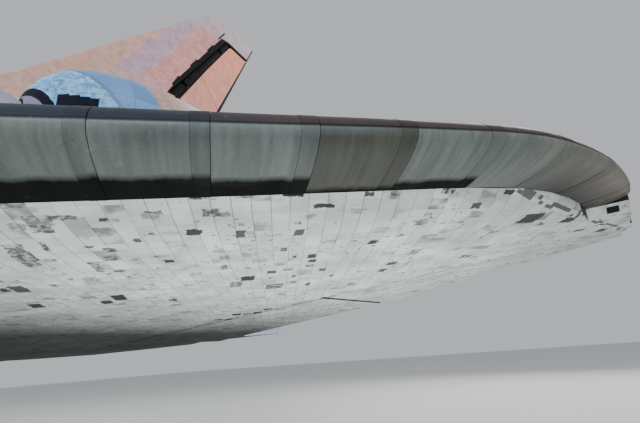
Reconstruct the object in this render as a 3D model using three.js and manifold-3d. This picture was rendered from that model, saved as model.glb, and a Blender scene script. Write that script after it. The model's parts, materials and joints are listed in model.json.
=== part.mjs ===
// A reusable winged space shuttle orbiter, parked on its landing gear, at its real size.
// Millimetres, +Z up, nose towards -Y, port side towards +X.
// The origin is on the ground under the middle of the length.
// Real orbiters are drawn in inches on three scales: x0 runs aft, y0 out to port and z0 up.
// Every size below is written on those scales and place() turns it into millimetres.
import * as THREE from "three";
import { mergeVertices } from "three/addons/utils/BufferGeometryUtils.js";
import Module from "manifold-3d";

const wasm = await Module();
wasm.setup();

// Driving dimensions, in inches on the vehicle's own scales
const INCH = 25.4; // mm
const GROUND_Z0 = 136; // floor under the tyres
const MIDDLE_X0 = 968.3; // half way between the nose and the fin's tip
const SEAT = 0.4 / INCH; // gap between pieces that rest on each other, 0.4 mm
const RUN = 14 / INCH; // gap around a piece that turns, 14 mm
const PIN = 0.3 / INCH; // gap between a hinge pin and its bore, 0.3 mm
const PIN_SIDES = 20;
const DEGREE = Math.PI / 180;

const place = (y0, x0, z0) =>
  new THREE.Vector3(y0 * INCH, (x0 - MIDDLE_X0) * INCH, (z0 - GROUND_Z0) * INCH);

// Colours, from the photograph
const paint = (color, roughness, metalness = 0) =>
  new THREE.MeshStandardMaterial({ color, roughness, metalness });
const MATERIALS = {
  whiteTile: paint("#d9d8d3", 0.85),
  greyTile: paint("#a9b0ad", 0.85),
  blackTile: paint("#24262a", 0.6),
  carbon: paint("#6f7775", 0.5),
  blanket: paint("#e4e4e0", 0.95),
  liner: paint("#c9cabf", 0.9),
  radiator: paint("#c4c9cf", 0.3, 0.6),
  nozzle: paint("#5b5148", 0.35, 0.8),
  steel: paint("#b8bcc0", 0.35, 0.8),
  tyre: paint("#1d1d1e", 0.9),
  glass: paint("#10151c", 0.1),
  interior: paint("#7d8489", 0.8),
};

const orbiter = new THREE.Group();

// Solids: every shape becomes a manifold so that neighbours can be cut to fit
function solid(geometry) {
  const bare = geometry.clone();
  for (const name of Object.keys(bare.attributes)) if (name !== "position") bare.deleteAttribute(name);
  const merged = mergeVertices(bare, 1e-3);
  const triVerts = new Uint32Array(merged.index.array);
  const vertProperties = merged.attributes.position.array;
  const made = new wasm.Manifold(new wasm.Mesh({ numProp: 3, vertProperties, triVerts }));
  if (made.volume() > 0) return made;
  for (let i = 0; i < triVerts.length; i += 3) {
    [triVerts[i + 1], triVerts[i + 2]] = [triVerts[i + 2], triVerts[i + 1]];
  }
  return new wasm.Manifold(new wasm.Mesh({ numProp: 3, vertProperties, triVerts }));
}

function geometryOf(manifold) {
  const mesh = manifold.getMesh();
  const stride = mesh.numProp;
  const position = new Float32Array(mesh.numVert * 3);
  for (let i = 0; i < mesh.numVert; i++) {
    position.set(mesh.vertProperties.subarray(i * stride, i * stride + 3), i * 3);
  }
  return new THREE.BufferGeometry()
    .setAttribute("position", new THREE.BufferAttribute(position, 3))
    .setIndex(new THREE.BufferAttribute(mesh.triVerts, 1));
}

function add(name, shape, material) {
  const geometry = geometryOf(shape);
  geometry.computeVertexNormals();
  const mesh = new THREE.Mesh(geometry, material);
  mesh.name = name;
  orbiter.add(mesh);
  return shape;
}

const join = (...shapes) => shapes.reduce((a, b) => a.add(b));
const cut = (shape, ...tools) => tools.reduce((a, b) => a.subtract(b), shape);
// The starboard copy of a port solid
const mirrored = (shape) => shape.mirror([1, 0, 0]);

// A closed skin through rings of equally many points, with a fan over each end
function loft(rings) {
  const count = rings[0].length;
  const points = rings.flat();
  const index = [];
  for (let r = 0; r < rings.length - 1; r++) {
    for (let k = 0; k < count; k++) {
      const a = r * count + k;
      const b = r * count + ((k + 1) % count);
      index.push(a, b, b + count, a, b + count, a + count);
    }
  }
  for (const [ring, flip] of [[0, true], [rings.length - 1, false]]) {
    const middle = points.length;
    const centre = rings[ring].reduce((sum, p) => sum.add(p), new THREE.Vector3());
    points.push(centre.divideScalar(count));
    for (let k = 0; k < count; k++) {
      const a = ring * count + k;
      const b = ring * count + ((k + 1) % count);
      index.push(...(flip ? [middle, b, a] : [middle, a, b]));
    }
  }
  return solid(new THREE.BufferGeometry().setFromPoints(points).setIndex(index));
}

function box([y1, y2], [x1, x2], [z1, z2]) {
  const low = place(y1, x1, z1);
  const size = place(y2, x2, z2).sub(low);
  const shape = new THREE.BoxGeometry(size.x, size.y, size.z);
  return solid(shape.translate(low.x + size.x / 2, low.y + size.y / 2, low.z + size.z / 2));
}

// A round bar, or a cone, between two places
function rod(from, to, radius, endRadius = radius, sides = 12) {
  const a = place(...from);
  const b = place(...to);
  const along = b.clone().sub(a);
  const shape = new THREE.CylinderGeometry(endRadius * INCH, radius * INCH, along.length(), sides);
  shape.translate(0, along.length() / 2, 0);
  shape.applyQuaternion(
    new THREE.Quaternion().setFromUnitVectors(new THREE.Vector3(0, 1, 0), along.normalize()),
  );
  return solid(shape.translate(a.x, a.y, a.z));
}

// The hole for a round bar: its flats clear the bar's corners at every turn
const boreRadius = (radius, sides) => (radius + PIN) / Math.cos(Math.PI / sides);

function bore(from, to, radius, sides = PIN_SIDES) {
  const clear = boreRadius(radius, sides);
  return rod(from, to, clear, clear, sides);
}

const pinRod = (from, to, radius) => rod(from, to, radius, radius, PIN_SIDES);

// A turned piece: profile points are (radius, distance along) in inches, turned about a line.
// The first corner of its rings is at the start angle.
function turned(profile, from, towards, sides = 32, start = 0) {
  const shape = new THREE.LatheGeometry(
    profile.map(([r, s]) => new THREE.Vector2(r * INCH, s * INCH)),
    sides,
    start,
  );
  const a = place(...from);
  const along = place(...towards).sub(a).normalize();
  shape.applyQuaternion(new THREE.Quaternion().setFromUnitVectors(new THREE.Vector3(0, 1, 0), along));
  return solid(shape.translate(a.x, a.y, a.z));
}

// Straight bar of one outline, drawn in (y0, z0), running aft from x1 to x2
function bar(outline, x1, x2) {
  const corners = outline.map(([y0, z0]) => place(y0, x1, z0));
  return loft([corners, corners.map((p) => p.clone().setY((x2 - MIDDLE_X0) * INCH))]);
}

// Slab of one side view outline, drawn in (x0, z0), from y1 to y2
function slab(outline, y1, y2) {
  return loft([y1, y2].map((y0) => outline.map(([x0, z0]) => place(y0, x0, z0))));
}

const mix = (a, b, t) => a + (b - a) * t;

// Reads a table whose first column runs upwards, with straight lines between rows
function read(table, at, column) {
  const last = table.length - 1;
  if (at <= table[0][0]) return table[0][column];
  if (at >= table[last][0]) return table[last][column];
  const i = table.findIndex((row) => row[0] >= at);
  const [low, high] = [table[i - 1], table[i]];
  return mix(low[column], high[column], (at - low[0]) / (high[0] - low[0]));
}

// Knuckles along a fore and aft hinge line, each with a root that reaches in to its own piece
function knuckles({ y0, z0, radius, length }, starts, root) {
  return starts.map((x0) =>
    join(
      rod([y0, x0 + PIN / 2, z0], [y0, x0 + length - PIN / 2, z0], radius, radius, 10),
      box([y0 - root.depth, y0], [x0 + PIN / 2, x0 + length - PIN / 2], [z0 + root.low, z0 + root.high]),
    ),
  );
}

// Fuselage
// columns: x0, half width, bottom z0, top z0, z0 of the widest place, power of the top, power of the bottom
const BODY = [
  [236.2, 4, 330, 338, 334, 2, 2],
  [240, 14, 319, 348, 333, 2, 2],
  [248, 24, 308, 358, 332, 2, 2.1],
  [262, 34, 298.5, 367.5, 330, 2, 2.2],
  [290, 47, 288, 378, 327, 2, 2.4],
  [330, 60, 280, 389, 324, 2, 2.7],
  [380, 73, 274, 402, 325, 2, 3.2],
  [436, 85, 270.5, 417, 330, 2, 3.8],
  [458, 89, 269.6, 446, 336, 2.05, 4.1],
  [480, 93, 269, 474, 345, 2.1, 4.5],
  [500, 96, 268.5, 492, 362, 2.1, 5],
  [530, 99.5, 268, 502, 385, 2, 6],
  [582, 102, 267, 504, 400, 2, 8],
  [1307, 102, 267, 504, 400, 2, 8],
  [1400, 104, 268, 500, 400, 2.2, 8],
  [1470, 105, 270, 492, 395, 2.5, 7],
  [1521, 104, 273, 484, 390, 2.8, 6],
];
const BODY_POINTS = 28;
const CAP_END = 262;
const BAY = { front: 582, rear: 1307 };
const TAIL_END = 1521;

// One ring of the fuselage; grow moves it outwards
function bodyRing(x0, grow = 0) {
  const [halfWidth, bottom, top, widest, powerTop, powerBottom] = [1, 2, 3, 4, 5, 6].map((c) =>
    read(BODY, x0, c),
  );
  return Array.from({ length: BODY_POINTS }, (_, k) => {
    const a = (2 * Math.PI * (k + 0.5)) / BODY_POINTS;
    const [c, s] = [Math.cos(a), Math.sin(a)];
    const power = 2 / (s > 0 ? powerTop : powerBottom);
    const height = s > 0 ? top - widest : widest - bottom;
    return place(
      (halfWidth + grow) * Math.sign(c) * Math.abs(c) ** power,
      x0,
      widest + (height + grow) * Math.sign(s) * Math.abs(s) ** power,
    );
  });
}

function body(x1, x2, grow = 0) {
  const stations = [x1, ...BODY.map((row) => row[0]).filter((x0) => x0 > x1 && x0 < x2), x2];
  return symmetric(loft(stations.map((x0) => bodyRing(x0, grow))));
}

// Both halves get the same facets, so that what is cut to fit one side also fits the other
function symmetric(shape) {
  const { min, max } = shape.boundingBox();
  const [tall, long] = [max[2] - min[2] + 2, max[1] - min[1] + 2];
  const half = new THREE.BoxGeometry(max[0] + 1, long, tall);
  half.translate((max[0] + 1) / 2, (max[1] + min[1]) / 2, (max[2] + min[2]) / 2);
  const port = shape.intersect(solid(half));
  return port.add(mirrored(port));
}

const envelope = body(BODY[0][0], TAIL_END, SEAT);

// Crew cabin: a hollow two deck room inside the forward fuselage
const CABIN = { front: 452, rear: 566, wall: 9, floor: 318, flightDeck: 408 };
const HATCH = { x0: 512, z0: 368, outer: 22, inner: 15 };
const HATCH_HINGE = { y0: 99.5, z0: 346, radius: 1.3, length: 4 };
const HATCH_KNUCKLES = [HATCH.x0 - 8, HATCH.x0];
// columns: corners of each port side pane seen from ahead, as y0 and z0
const PANES = [
  [[3, 427], [29, 425], [27, 449], [3, 451]],
  [[32, 425], [57, 424], [52, 446], [30, 449]],
  [[60, 424], [77, 427], [68, 441], [55, 446]],
];
const PANE = 0.8;
const ROOF_PANES = { y: [5, 24], x: [507, 527] };
const NOSE_WELL = { y: 21, x: [292, 404], top: 316 };
const THRUSTERS = { x: [300, 392], z: 372, halfWidth: 36 };

function cabinRoom(gap = 0) {
  const [front, rear] = [CABIN.front + gap, CABIN.rear - gap];
  const stations = [front, 480, 500, 530, rear];
  const room = loft(stations.map((x0) => bodyRing(x0, -CABIN.wall - gap)));
  return symmetric(room.intersect(box([-90, 90], [front, rear], [CABIN.floor + gap, 500])));
}

const flip = (outline) => outline.map(([y0, z0]) => [-y0, z0]);

function windowHoles(front, rear, shrink = 0) {
  const small = (outline) => {
    const [my, mz] = [0, 1].map((i) => outline.reduce((sum, p) => sum + p[i], 0) / outline.length);
    const size = outline.reduce((sum, p) => sum + Math.hypot(p[0] - my, p[1] - mz), 0) / outline.length;
    return outline.map(([y0, z0]) => [mix(y0, my, shrink / size), mix(z0, mz, shrink / size)]);
  };
  const outlines = PANES.map(small);
  return join(...[...outlines, ...outlines.map(flip)].map((outline) => bar(outline, front, rear)));
}

function roofHoles(shrink = 0) {
  const [y1, y2] = [ROOF_PANES.y[0] + shrink, ROOF_PANES.y[1] - shrink];
  const [x1, x2] = [ROOF_PANES.x[0] + shrink, ROOF_PANES.x[1] - shrink];
  return [1, -1].map((side) => box([side * y1, side * y2].sort((a, b) => a - b), [x1, x2], [470, 520]));
}

function thrusterHoles() {
  const holes = [];
  for (const x0 of [330, 345, 360]) {
    holes.push(rod([0, x0, 380], [0, x0, 410], 3.6, 4.6, 8));
  }
  for (const side of [1, -1]) {
    for (const x0 of [322, 338]) {
      holes.push(rod([side * 26, x0, 374], [side * 60, x0, 376], 3.4, 4.4, 8));
      holes.push(rod([side * 14, x0 + 34, 380], [side * 34, x0 + 34, 412], 3.4, 4.4, 8));
    }
  }
  return join(...holes);
}

function forwardFuselage() {
  add("nose_cap", body(BODY[0][0], CAP_END), MATERIALS.carbon);
  const skin = body(CAP_END + SEAT, BAY.front - SEAT);
  const room = cabinRoom();
  const moduleBox = (gap) =>
    box(
      [-THRUSTERS.halfWidth - gap, THRUSTERS.halfWidth + gap],
      [THRUSTERS.x[0] - gap, THRUSTERS.x[1] + gap],
      [THRUSTERS.z - gap, 430],
    );
  add(
    "forward_thruster_module",
    cut(skin.intersect(moduleBox(0)), thrusterHoles()),
    MATERIALS.blanket,
  );
  const hatchCone = (gap) =>
    rod([74, HATCH.x0, HATCH.z0], [108, HATCH.x0, HATCH.z0], HATCH.inner + gap, HATCH.outer + gap, 28);
  const wall = cut(skin, room);
  const hatchSlots = join(
    ...HATCH_KNUCKLES.map((x0) =>
      box([94, 102], [x0 - RUN, x0 + HATCH_HINGE.length], [HATCH_HINGE.z0 - 2, HATCH_HINGE.z0 + 9]),
    ),
  );
  const hatchKnuckles = (offset, root) =>
    knuckles(HATCH_HINGE, HATCH_KNUCKLES.map((x0) => x0 + offset), root);
  add(
    "side_hatch",
    join(wall.intersect(hatchCone(0)), ...hatchKnuckles(0, { depth: 4, low: -0.6, high: 8 })),
    MATERIALS.whiteTile,
  );
  add(
    "forward_fuselage",
    cut(
      join(wall, ...hatchKnuckles(HATCH_HINGE.length, { depth: 4, low: -1.2, high: 0.4 })),
      moduleBox(SEAT),
      hatchCone(RUN),
      hatchSlots,
      windowHoles(430, 520),
      ...roofHoles(),
      box([-NOSE_WELL.y, NOSE_WELL.y], NOSE_WELL.x, [240, NOSE_WELL.top]),
    ),
    MATERIALS.whiteTile,
  );
  // Six panes 2 in below the skin, joined by a clear inner pane that lines the cabin wall
  const lining = cut(cabinRoom(SEAT), cabinRoom(SEAT + PANE));
  const inner = lining.intersect(box([-90, 90], [450, 515], [421, 454]));
  const recessed = cut(body(CAP_END, BAY.front, -2), cabinRoom(SEAT + PANE));
  const panes = recessed.intersect(windowHoles(431, 514, SEAT));
  add("windshield", join(panes, inner), MATERIALS.glass);
  roofHoles(SEAT).forEach((hole, i) => {
    const pane = hole.intersect(cut(body(490, 540, -2), body(490, 540, -4)));
    add(i ? "roof_window_right" : "roof_window_left", pane, MATERIALS.glass);
  });
}

// What shows through the windows: the flight deck's floor, the panel under the windshield, two seats
const SEATS = { y0: 21, x0: 512, half: 9, cushion: 428, back: 452 };
// columns: x0, height above the flight deck
const PANEL_SIDE = [[466, 1], [476, 1], [480, 14], [474, 17], [466, 14]];
const PANEL_HALF = 38;

function flightDeck() {
  const { y0, x0, half, cushion, back } = SEATS;
  const level = CABIN.flightDeck;
  const floor = cabinRoom(SEAT).intersect(box([-90, 90], [460, 556], [level, level + 3]));
  const panel = slab(PANEL_SIDE.map(([x, rise]) => [x, level + rise]), -PANEL_HALF, PANEL_HALF);
  const backrest = [[x0 + 14, cushion - 4], [x0 + 18, cushion - 4], [x0 + 22, back], [x0 + 18, back]];
  const seats = [y0, -y0].flatMap((middle) => [
    box([middle - half, middle + half], [x0, x0 + 17], [cushion - 4, cushion]),
    slab(backrest, middle - half, middle + half),
    box([middle - 4, middle + 4], [x0 + 4, x0 + 14], [level + 1, cushion - 3]),
  ]);
  add("flight_deck", join(floor, panel, ...seats), MATERIALS.interior);
}

// Mid fuselage: an open trough under the payload bay, with frames and keel
const SILL_Z0 = 414;
const DOOR_HINGE = { y0: 103.2, z0: 416, radius: 1.5, length: 8 };
const DOOR_KNUCKLES = 6;
const TROUGH = { radius: 97, frame: 92, frames: 7, steps: 14 };

function arc(radiusY, radiusZ, from, to, steps, z0 = 400) {
  return Array.from({ length: steps + 1 }, (_, k) => {
    const a = mix(from, to, k / steps) * DEGREE;
    return [radiusY * Math.cos(a), z0 + radiusZ * Math.sin(a)];
  });
}

const doorStations = (offset) =>
  Array.from(
    { length: DOOR_KNUCKLES },
    (_, k) => mix(BAY.front + 30, BAY.rear - 50, k / (DOOR_KNUCKLES - 1)) + offset,
  );

function midFuselage() {
  const outer = body(BAY.front, BAY.rear - SEAT);
  const tooHigh = box([-120, 120], [BAY.front - 1, BAY.rear + 1], [SILL_Z0, 520]);
  const hollow = (radius, x1, x2) =>
    join(
      bar(arc(radius, radius, 0, -180, TROUGH.steps), x1, x2),
      box([-radius, radius], [x1, x2], [400, 420]),
    );
  const trough = cut(outer, tooHigh, hollow(TROUGH.radius, BAY.front - 1, BAY.rear + 1));
  const pitch = (BAY.rear - BAY.front) / (TROUGH.frames + 1);
  const frames = Array.from({ length: TROUGH.frames }, (_, k) => {
    const x0 = BAY.front + pitch * (k + 1);
    const blank = bar(arc(TROUGH.radius + 1, TROUGH.radius + 1, 0, -180, TROUGH.steps), x0 - 1.5, x0 + 1.5);
    return cut(blank, hollow(TROUGH.frame, x0 - 3, x0 + 3));
  });
  const fixed = knuckles(DOOR_HINGE, doorStations(DOOR_HINGE.length), { depth: 5, low: -8, high: -0.4 });
  const hinges = [...fixed, ...fixed.map(mirrored)];
  add("mid_fuselage", join(trough, ...frames, ...hinges), MATERIALS.liner);
}

// Payload bay doors, one long curved shell each side
const DOOR = { thickness: 5, gap: 0.3 };

function payloadDoor() {
  // The shell starts just above its hinge line
  const first = Math.asin((DOOR_HINGE.z0 - 400) / 104) / DEGREE;
  const outerArc = arc(102, 104, first, 90, 14);
  const innerArc = arc(102 - DOOR.thickness, 104 - DOOR.thickness, 90, first + 0.6, 14);
  const shell = bar([...outerArc, ...innerArc], BAY.front + 0.5, BAY.rear - 0.5);
  const panel = cut(
    shell,
    box([-20, DOOR.gap], [BAY.front, BAY.rear], [480, 520]),
    box([80, 110], [BAY.front, BAY.rear], [390, DOOR_HINGE.z0 + 0.25]),
  );
  return join(panel, ...knuckles(DOOR_HINGE, doorStations(0), { depth: 5, low: 0.2, high: 6 }));
}

// Aft fuselage with the domes that the main engines turn in
// columns: name, y0, x0, z0 of the gimbal, degrees up, degrees outwards
const MAIN_ENGINES = [
  ["main_engine_top", 0, 1445, 443, 16, 0],
  ["main_engine_left", 53, 1468, 342.6, 10, 3.5],
  ["main_engine_right", -53, 1468, 342.6, 10, -3.5],
];
const ENGINE_LENGTH = 168;
// columns: radius, distance aft of the gimbal; the bell's outer face
const BELL = [[18, 58], [27, 76], [33, 94], [38.2, 116], [42.4, 142], [45.35, ENGINE_LENGTH]];
const BELL_WALL = 2.2;
const DOME = { radius: 43, ahead: 46 };

function engineAxis([, y0, x0, z0, up, out]) {
  const direction = [
    Math.sin(out * DEGREE) * Math.cos(up * DEGREE),
    Math.cos(out * DEGREE) * Math.cos(up * DEGREE),
    Math.sin(up * DEGREE),
  ];
  return (s) => [y0 + direction[0] * s, x0 + direction[1] * s, z0 + direction[2] * s];
}

function dome(engine, grow = 0) {
  const centre = place(...engineAxis(engine)(DOME.ahead));
  const ball = new THREE.SphereGeometry((DOME.radius + grow) * INCH, 20, 10);
  return solid(ball.translate(centre.x, centre.y, centre.z));
}

function mainEngine(engine) {
  const axis = engineAxis(engine);
  const inner = BELL.slice(1).reverse().map(([r, s]) => [r - BELL_WALL, s]);
  const profile = [[0, BELL[0][1]], ...BELL, ...inner, [6, 62], [0, 62]];
  return turned(profile, axis(0), axis(1), 20);
}

// Room that the fin's foot leaves around the top engine's bell
function bellRoom(engine) {
  const axis = engineAxis(engine);
  const profile = [[0, BELL[0][1]], ...BELL.map(([r, s]) => [r + 2.5, s]), [0, ENGINE_LENGTH]];
  return turned(profile, axis(0), axis(1), 24);
}

const tailEnvelope = symmetric(join(envelope, ...MAIN_ENGINES.map((engine) => dome(engine, SEAT))));

// Body flap under the main engines, on two lugs that stand out of the aft fuselage
const FLAP = {
  halfWidth: 121,
  x0: 1532,
  z0: 286,
  radius: 9.5,
  tail: 1613,
  tailHalfWidth: 116,
  lugs: [-52, 52],
  lugHalf: 2.5,
  pin: 2,
};

function flapLug(y0) {
  const [y1, y2] = [y0 - FLAP.lugHalf, y0 + FLAP.lugHalf];
  return join(
    rod([y1, FLAP.x0, FLAP.z0], [y2, FLAP.x0, FLAP.z0], 5, 5, 12),
    box([y1, y2], [TAIL_END - 12, FLAP.x0], [FLAP.z0 - 4, FLAP.z0 + 4]),
  );
}

function aftFuselage() {
  const domes = MAIN_ENGINES.map((engine) => dome(engine));
  const keep = box([-130, 130], [TAIL_END - 10, 1620], [290, 520]);
  const shell = join(body(BAY.rear, TAIL_END), ...domes.map((d) => d.intersect(keep)));
  const lugs = FLAP.lugs.map((y0) =>
    cut(flapLug(y0), bore([y0 - 9, FLAP.x0, FLAP.z0], [y0 + 9, FLAP.x0, FLAP.z0], FLAP.pin)),
  );
  add("aft_fuselage", join(symmetric(shell), ...lugs), MATERIALS.whiteTile);
  for (const engine of MAIN_ENGINES) add(engine[0], cut(mainEngine(engine), tailEnvelope), MATERIALS.nozzle);
}

// Orbital engine pods on the shoulders
// columns: x0, centre y0, centre z0, half width, half height
const POD = [
  [1308, 70, 470, 7, 8],
  [1312, 72, 470, 18, 20],
  [1322, 75, 471, 31, 34],
  [1342, 78, 473, 43, 46],
  [1380, 81, 475, 52, 54],
  [1440, 83, 477, 56, 58],
  [1500, 84, 478, 55, 58],
  [1546, 85, 480, 49, 50],
];
const STINGER = { y: [96, 136], x: [1478, 1574], z: [446, 496] };
const POD_ENGINE = ["orbit_engine", 88, 1505, 492, 15.8, 6.5];
const POD_BELL = [[5, 30], [8.5, 38], [13.5, 52], [18.2, 68], [21, 82], [22.5, 94]];

function ellipse(y0, x0, z0, halfWidth, halfHeight, count = 18) {
  return Array.from({ length: count }, (_, k) => {
    const a = (2 * Math.PI * k) / count;
    return place(y0 + halfWidth * Math.cos(a), x0, z0 + halfHeight * Math.sin(a));
  });
}

function pod() {
  const blister = loft(POD.map(([x0, y0, z0, w, h]) => ellipse(y0, x0, z0, w, h)));
  const { y, x, z } = STINGER;
  const [my, mz, w, h] = [(y[0] + y[1]) / 2, (z[0] + z[1]) / 2, (y[1] - y[0]) / 2, (z[1] - z[0]) / 2];
  const stinger = loft([
    ellipse(my, x[0], mz, w * 0.4, h * 0.6, 12),
    ellipse(my, x[0] + 30, mz, w * 0.9, h * 0.95, 12),
    ellipse(my, x[1], mz, w, h, 12),
  ]);
  const holes = [];
  for (const [dx, dz] of [[-12, -10], [-12, 8], [-30, -10], [-30, 8]]) {
    holes.push(rod([my + 6, x[1] + dx, mz + dz], [my + 30, x[1] + dx, mz + dz], 3.4, 4.8, 8));
  }
  for (const dz of [-9, 9]) {
    holes.push(rod([my, x[1] - 8, mz + dz], [my, x[1] + 6, mz + dz], 3.4, 4.8, 8));
  }
  return cut(join(blister, stinger), ...holes, tailEnvelope);
}

function podEngine() {
  const axis = engineAxis(POD_ENGINE);
  const inner = POD_BELL.slice(1).reverse().map(([r, s]) => [r - 1, s]);
  const profile = [[0, POD_BELL[0][1]], ...POD_BELL, ...inner, [2.5, 33], [0, 33]];
  return turned(profile, axis(0), axis(1), 16);
}

// Wing plan: the leading edge runs from the glove through the kink to the rounded tip
const LEADING = { glove: [95, 448], kink: [186, 1022], corner: [468, 1304], end: [468, 1350] };
const KINK_ROUND = 110; // length of straight edge that the rounding at the kink uses up
const TIP_ROUND = 46;
const SEMI_SPAN = 468;
const HINGE_X0 = 1387;
// columns: share of the edge's length, depth of the leading edge panels behind the nose
const PANEL_DEPTH = [[0, 12], [0.3, 17], [0.55, 23], [0.68, 25], [0.9, 23], [1, 15]];
// columns: y0, thickness at the front spar, greatest thickness, rise of the lower skin at the spar
const WING = [
  [70, 20, 66, 7],
  [110, 21, 62, 7],
  [150, 24, 57, 6.5],
  [186, 27, 52, 6],
  [250, 26, 44, 5.6],
  [312, 23, 36, 5.4],
  [400, 17.8, 26, 5.2],
  [432, 15.2, 21, 4.9],
  [444, 12, 17.5, 4.5],
  [453, 8.6, 13, 4],
  [457, 7.8, 12, 3.8],
  [468, 5, 7, 3.5],
];
const HINGE_THICK = [[70, 23], [468, 8]];
const wingBottom = (y0) => 270 + (y0 - 102) * Math.tan(3.5 * DEGREE);
const hingeThick = (y0) => read(HINGE_THICK, y0, 1);
const hingeAxis = (y0) => [y0, HINGE_X0, wingBottom(y0) + hingeThick(y0) / 2];

function towards([y1, x1], [y2, x2], length) {
  const share = length / Math.hypot(y2 - y1, x2 - x1);
  return [mix(y1, y2, share), mix(x1, x2, share)];
}

const edgePath = new THREE.Path()
  .moveTo(...LEADING.glove)
  .lineTo(...towards(LEADING.kink, LEADING.glove, KINK_ROUND))
  .quadraticCurveTo(...LEADING.kink, ...towards(LEADING.kink, LEADING.corner, KINK_ROUND))
  .lineTo(...towards(LEADING.corner, LEADING.kink, TIP_ROUND))
  .quadraticCurveTo(...LEADING.corner, ...towards(LEADING.corner, LEADING.end, TIP_ROUND));

// A place on the edge: its point, the way in to the wing, and the depth of the panel there
function edgeAt(share) {
  const point = edgePath.getPointAt(share);
  const along = edgePath.getTangentAt(share);
  const inwards = new THREE.Vector2(-along.y, along.x);
  return { point, inwards, depth: read(PANEL_DEPTH, share, 1) };
}

const sparAt = (share) => {
  const { point, inwards, depth } = edgeAt(share);
  return point.clone().addScaledVector(inwards, depth);
};
// Shares of the edge at which wing and leading edge have a section: closer together where it curves
const EDGE_SHARES = [
  ...[0, 0.12, 0.24, 0.34, 0.39, 0.43, 0.47, 0.51, 0.55],
  ...[0.62, 0.7, 0.78, 0.86, 0.92, 0.945, 0.96, 0.975, 0.988, 1],
];
const SPAR = EDGE_SHARES.map(sparAt).map((p) => [p.x, p.y]);
const [SPAR_TIP, EDGE_END] = SPAR[SPAR.length - 1];
const sparX0 = (y0) => (y0 > SPAR_TIP ? EDGE_END : read(SPAR, y0, 1));

// Lower and upper skin of the wing box: back is 0 at the spar and 1 at the elevon hinge
function wingSkin(y0, back) {
  const [front, greatest, rise] = [1, 2, 3].map((c) => read(WING, y0, c));
  const straight = mix(front, hingeThick(y0), back);
  const bulge = (greatest - mix(front, hingeThick(y0), 0.4)) * 4 * back * (1 - back);
  const lift = back < 0.3 ? rise * (1 - back / 0.3) ** 2 : 0;
  const low = wingBottom(y0) + lift;
  return { low, high: wingBottom(y0) + rise * (1 - back) + straight + Math.max(0, bulge) };
}

const WING_STATIONS = [70, ...EDGE_SHARES.map((share) => sparAt(share).x), 463, 467];
const BACK_LOW = [0, 0.08, 0.18, 0.3, 1];
const BACK_HIGH = [1, 0.8, 0.6, 0.42, 0.26, 0.12, 0];
// The upper skin ends further ahead of the hinge, because a raised elevon's top swings forward
const LIP = { low: 1, high: 6 };

function wingRing(y0) {
  const front = sparX0(y0);
  const at = (back, lip) => mix(front, HINGE_X0 - lip, back);
  return [
    ...BACK_LOW.map((b) => place(y0, at(b, LIP.low), wingSkin(y0, b).low)),
    ...BACK_HIGH.map((b) => place(y0, at(b, LIP.high), wingSkin(y0, b).high)),
  ];
}

const MAIN_WELL = { y: [108, 166], x: [1040, 1188], top: 314 };

// Lugs on the wing's rear face carry the pins at the elevons' ends
const ELEVON_LUGS = [[102, 107.4], [310.6, 313.4], [466.6, 468]];
const ELEVON_PIN = { radius: 1.4, length: 1 };

function elevonLug([y1, y2]) {
  const radius = Math.min(4, hingeThick(y1) / 2 - 0.4);
  const [, x0, z0] = hingeAxis(y1);
  const lug = join(
    rod(hingeAxis(y1), hingeAxis(y2), radius, radius, 12),
    box([y1, y2], [x0 - hingeThick(y1) / 2 - 6, x0], [z0 - radius, z0 + radius]),
  );
  return lug;
}

const elevonBores = () =>
  ELEVON_LUGS.map(([y1, y2]) => bore(hingeAxis(y1 - 1), hingeAxis(y2 + 1), ELEVON_PIN.radius));

function hingeCone(y1, y2, extra) {
  const radius = (y0) => hingeThick(y0) / 2 + extra;
  return rod(hingeAxis(y1), hingeAxis(y2), radius(y1), radius(y2), 16);
}

function wing() {
  const panel = cut(loft(WING_STATIONS.map(wingRing)), hingeCone(ELEVONS[0].y[0] - 0.5, SEMI_SPAN + 4, RUN));
  return cut(
    join(panel, ...ELEVON_LUGS.map(elevonLug)),
    ...elevonBores(),
    envelope,
    box(MAIN_WELL.y, MAIN_WELL.x, [240, MAIN_WELL.top]),
  );
}

// The carbon leading edge: a rounded hollow-looking nose all along the edge, stepped at each panel
const NOSE_ANGLE = 72 * DEGREE;
const NOSE_STEPS = 5;

function edgeRing(share) {
  const { point, inwards, depth } = edgeAt(share);
  const spar = sparAt(share);
  const { low, high } = wingSkin(Math.min(spar.x, 456.9), 0);
  const nose = mix(low, high, 0.42);
  const section = (angle) => {
    const behind = (depth - SEAT) * ((1 - Math.cos(angle)) / (1 - Math.cos(NOSE_ANGLE)));
    const height = Math.sin(Math.abs(angle)) / Math.sin(NOSE_ANGLE);
    const z0 = nose + (angle < 0 ? low - nose : high - nose) * height;
    return place(point.x + inwards.x * behind, point.y + inwards.y * behind, z0);
  };
  return Array.from({ length: 2 * NOSE_STEPS + 1 }, (_, k) => section((k / NOSE_STEPS - 1) * NOSE_ANGLE));
}

const leadingEdge = () => cut(loft(EDGE_SHARES.map(edgeRing)), envelope);

// Elevons, two each side, thick at the hinge and thin behind
const ELEVONS = [
  { name: "elevon_inner", y: [108, 310.2] },
  { name: "elevon_outer", y: [313.8, 466.2] },
];
const TRAILING_THICK = 1.6;
const TRAILING_RISE = 0.036; // extra rise of the outer elevon's trailing edge, per inch outboard
const trailingX0 = (y0) => 1442.2 + 0.1773 * (SEMI_SPAN - y0);
const trailingZ0 = (y0) => wingBottom(y0) + 2 + Math.max(0, y0 - ELEVONS[1].y[0]) * TRAILING_RISE;

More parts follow.
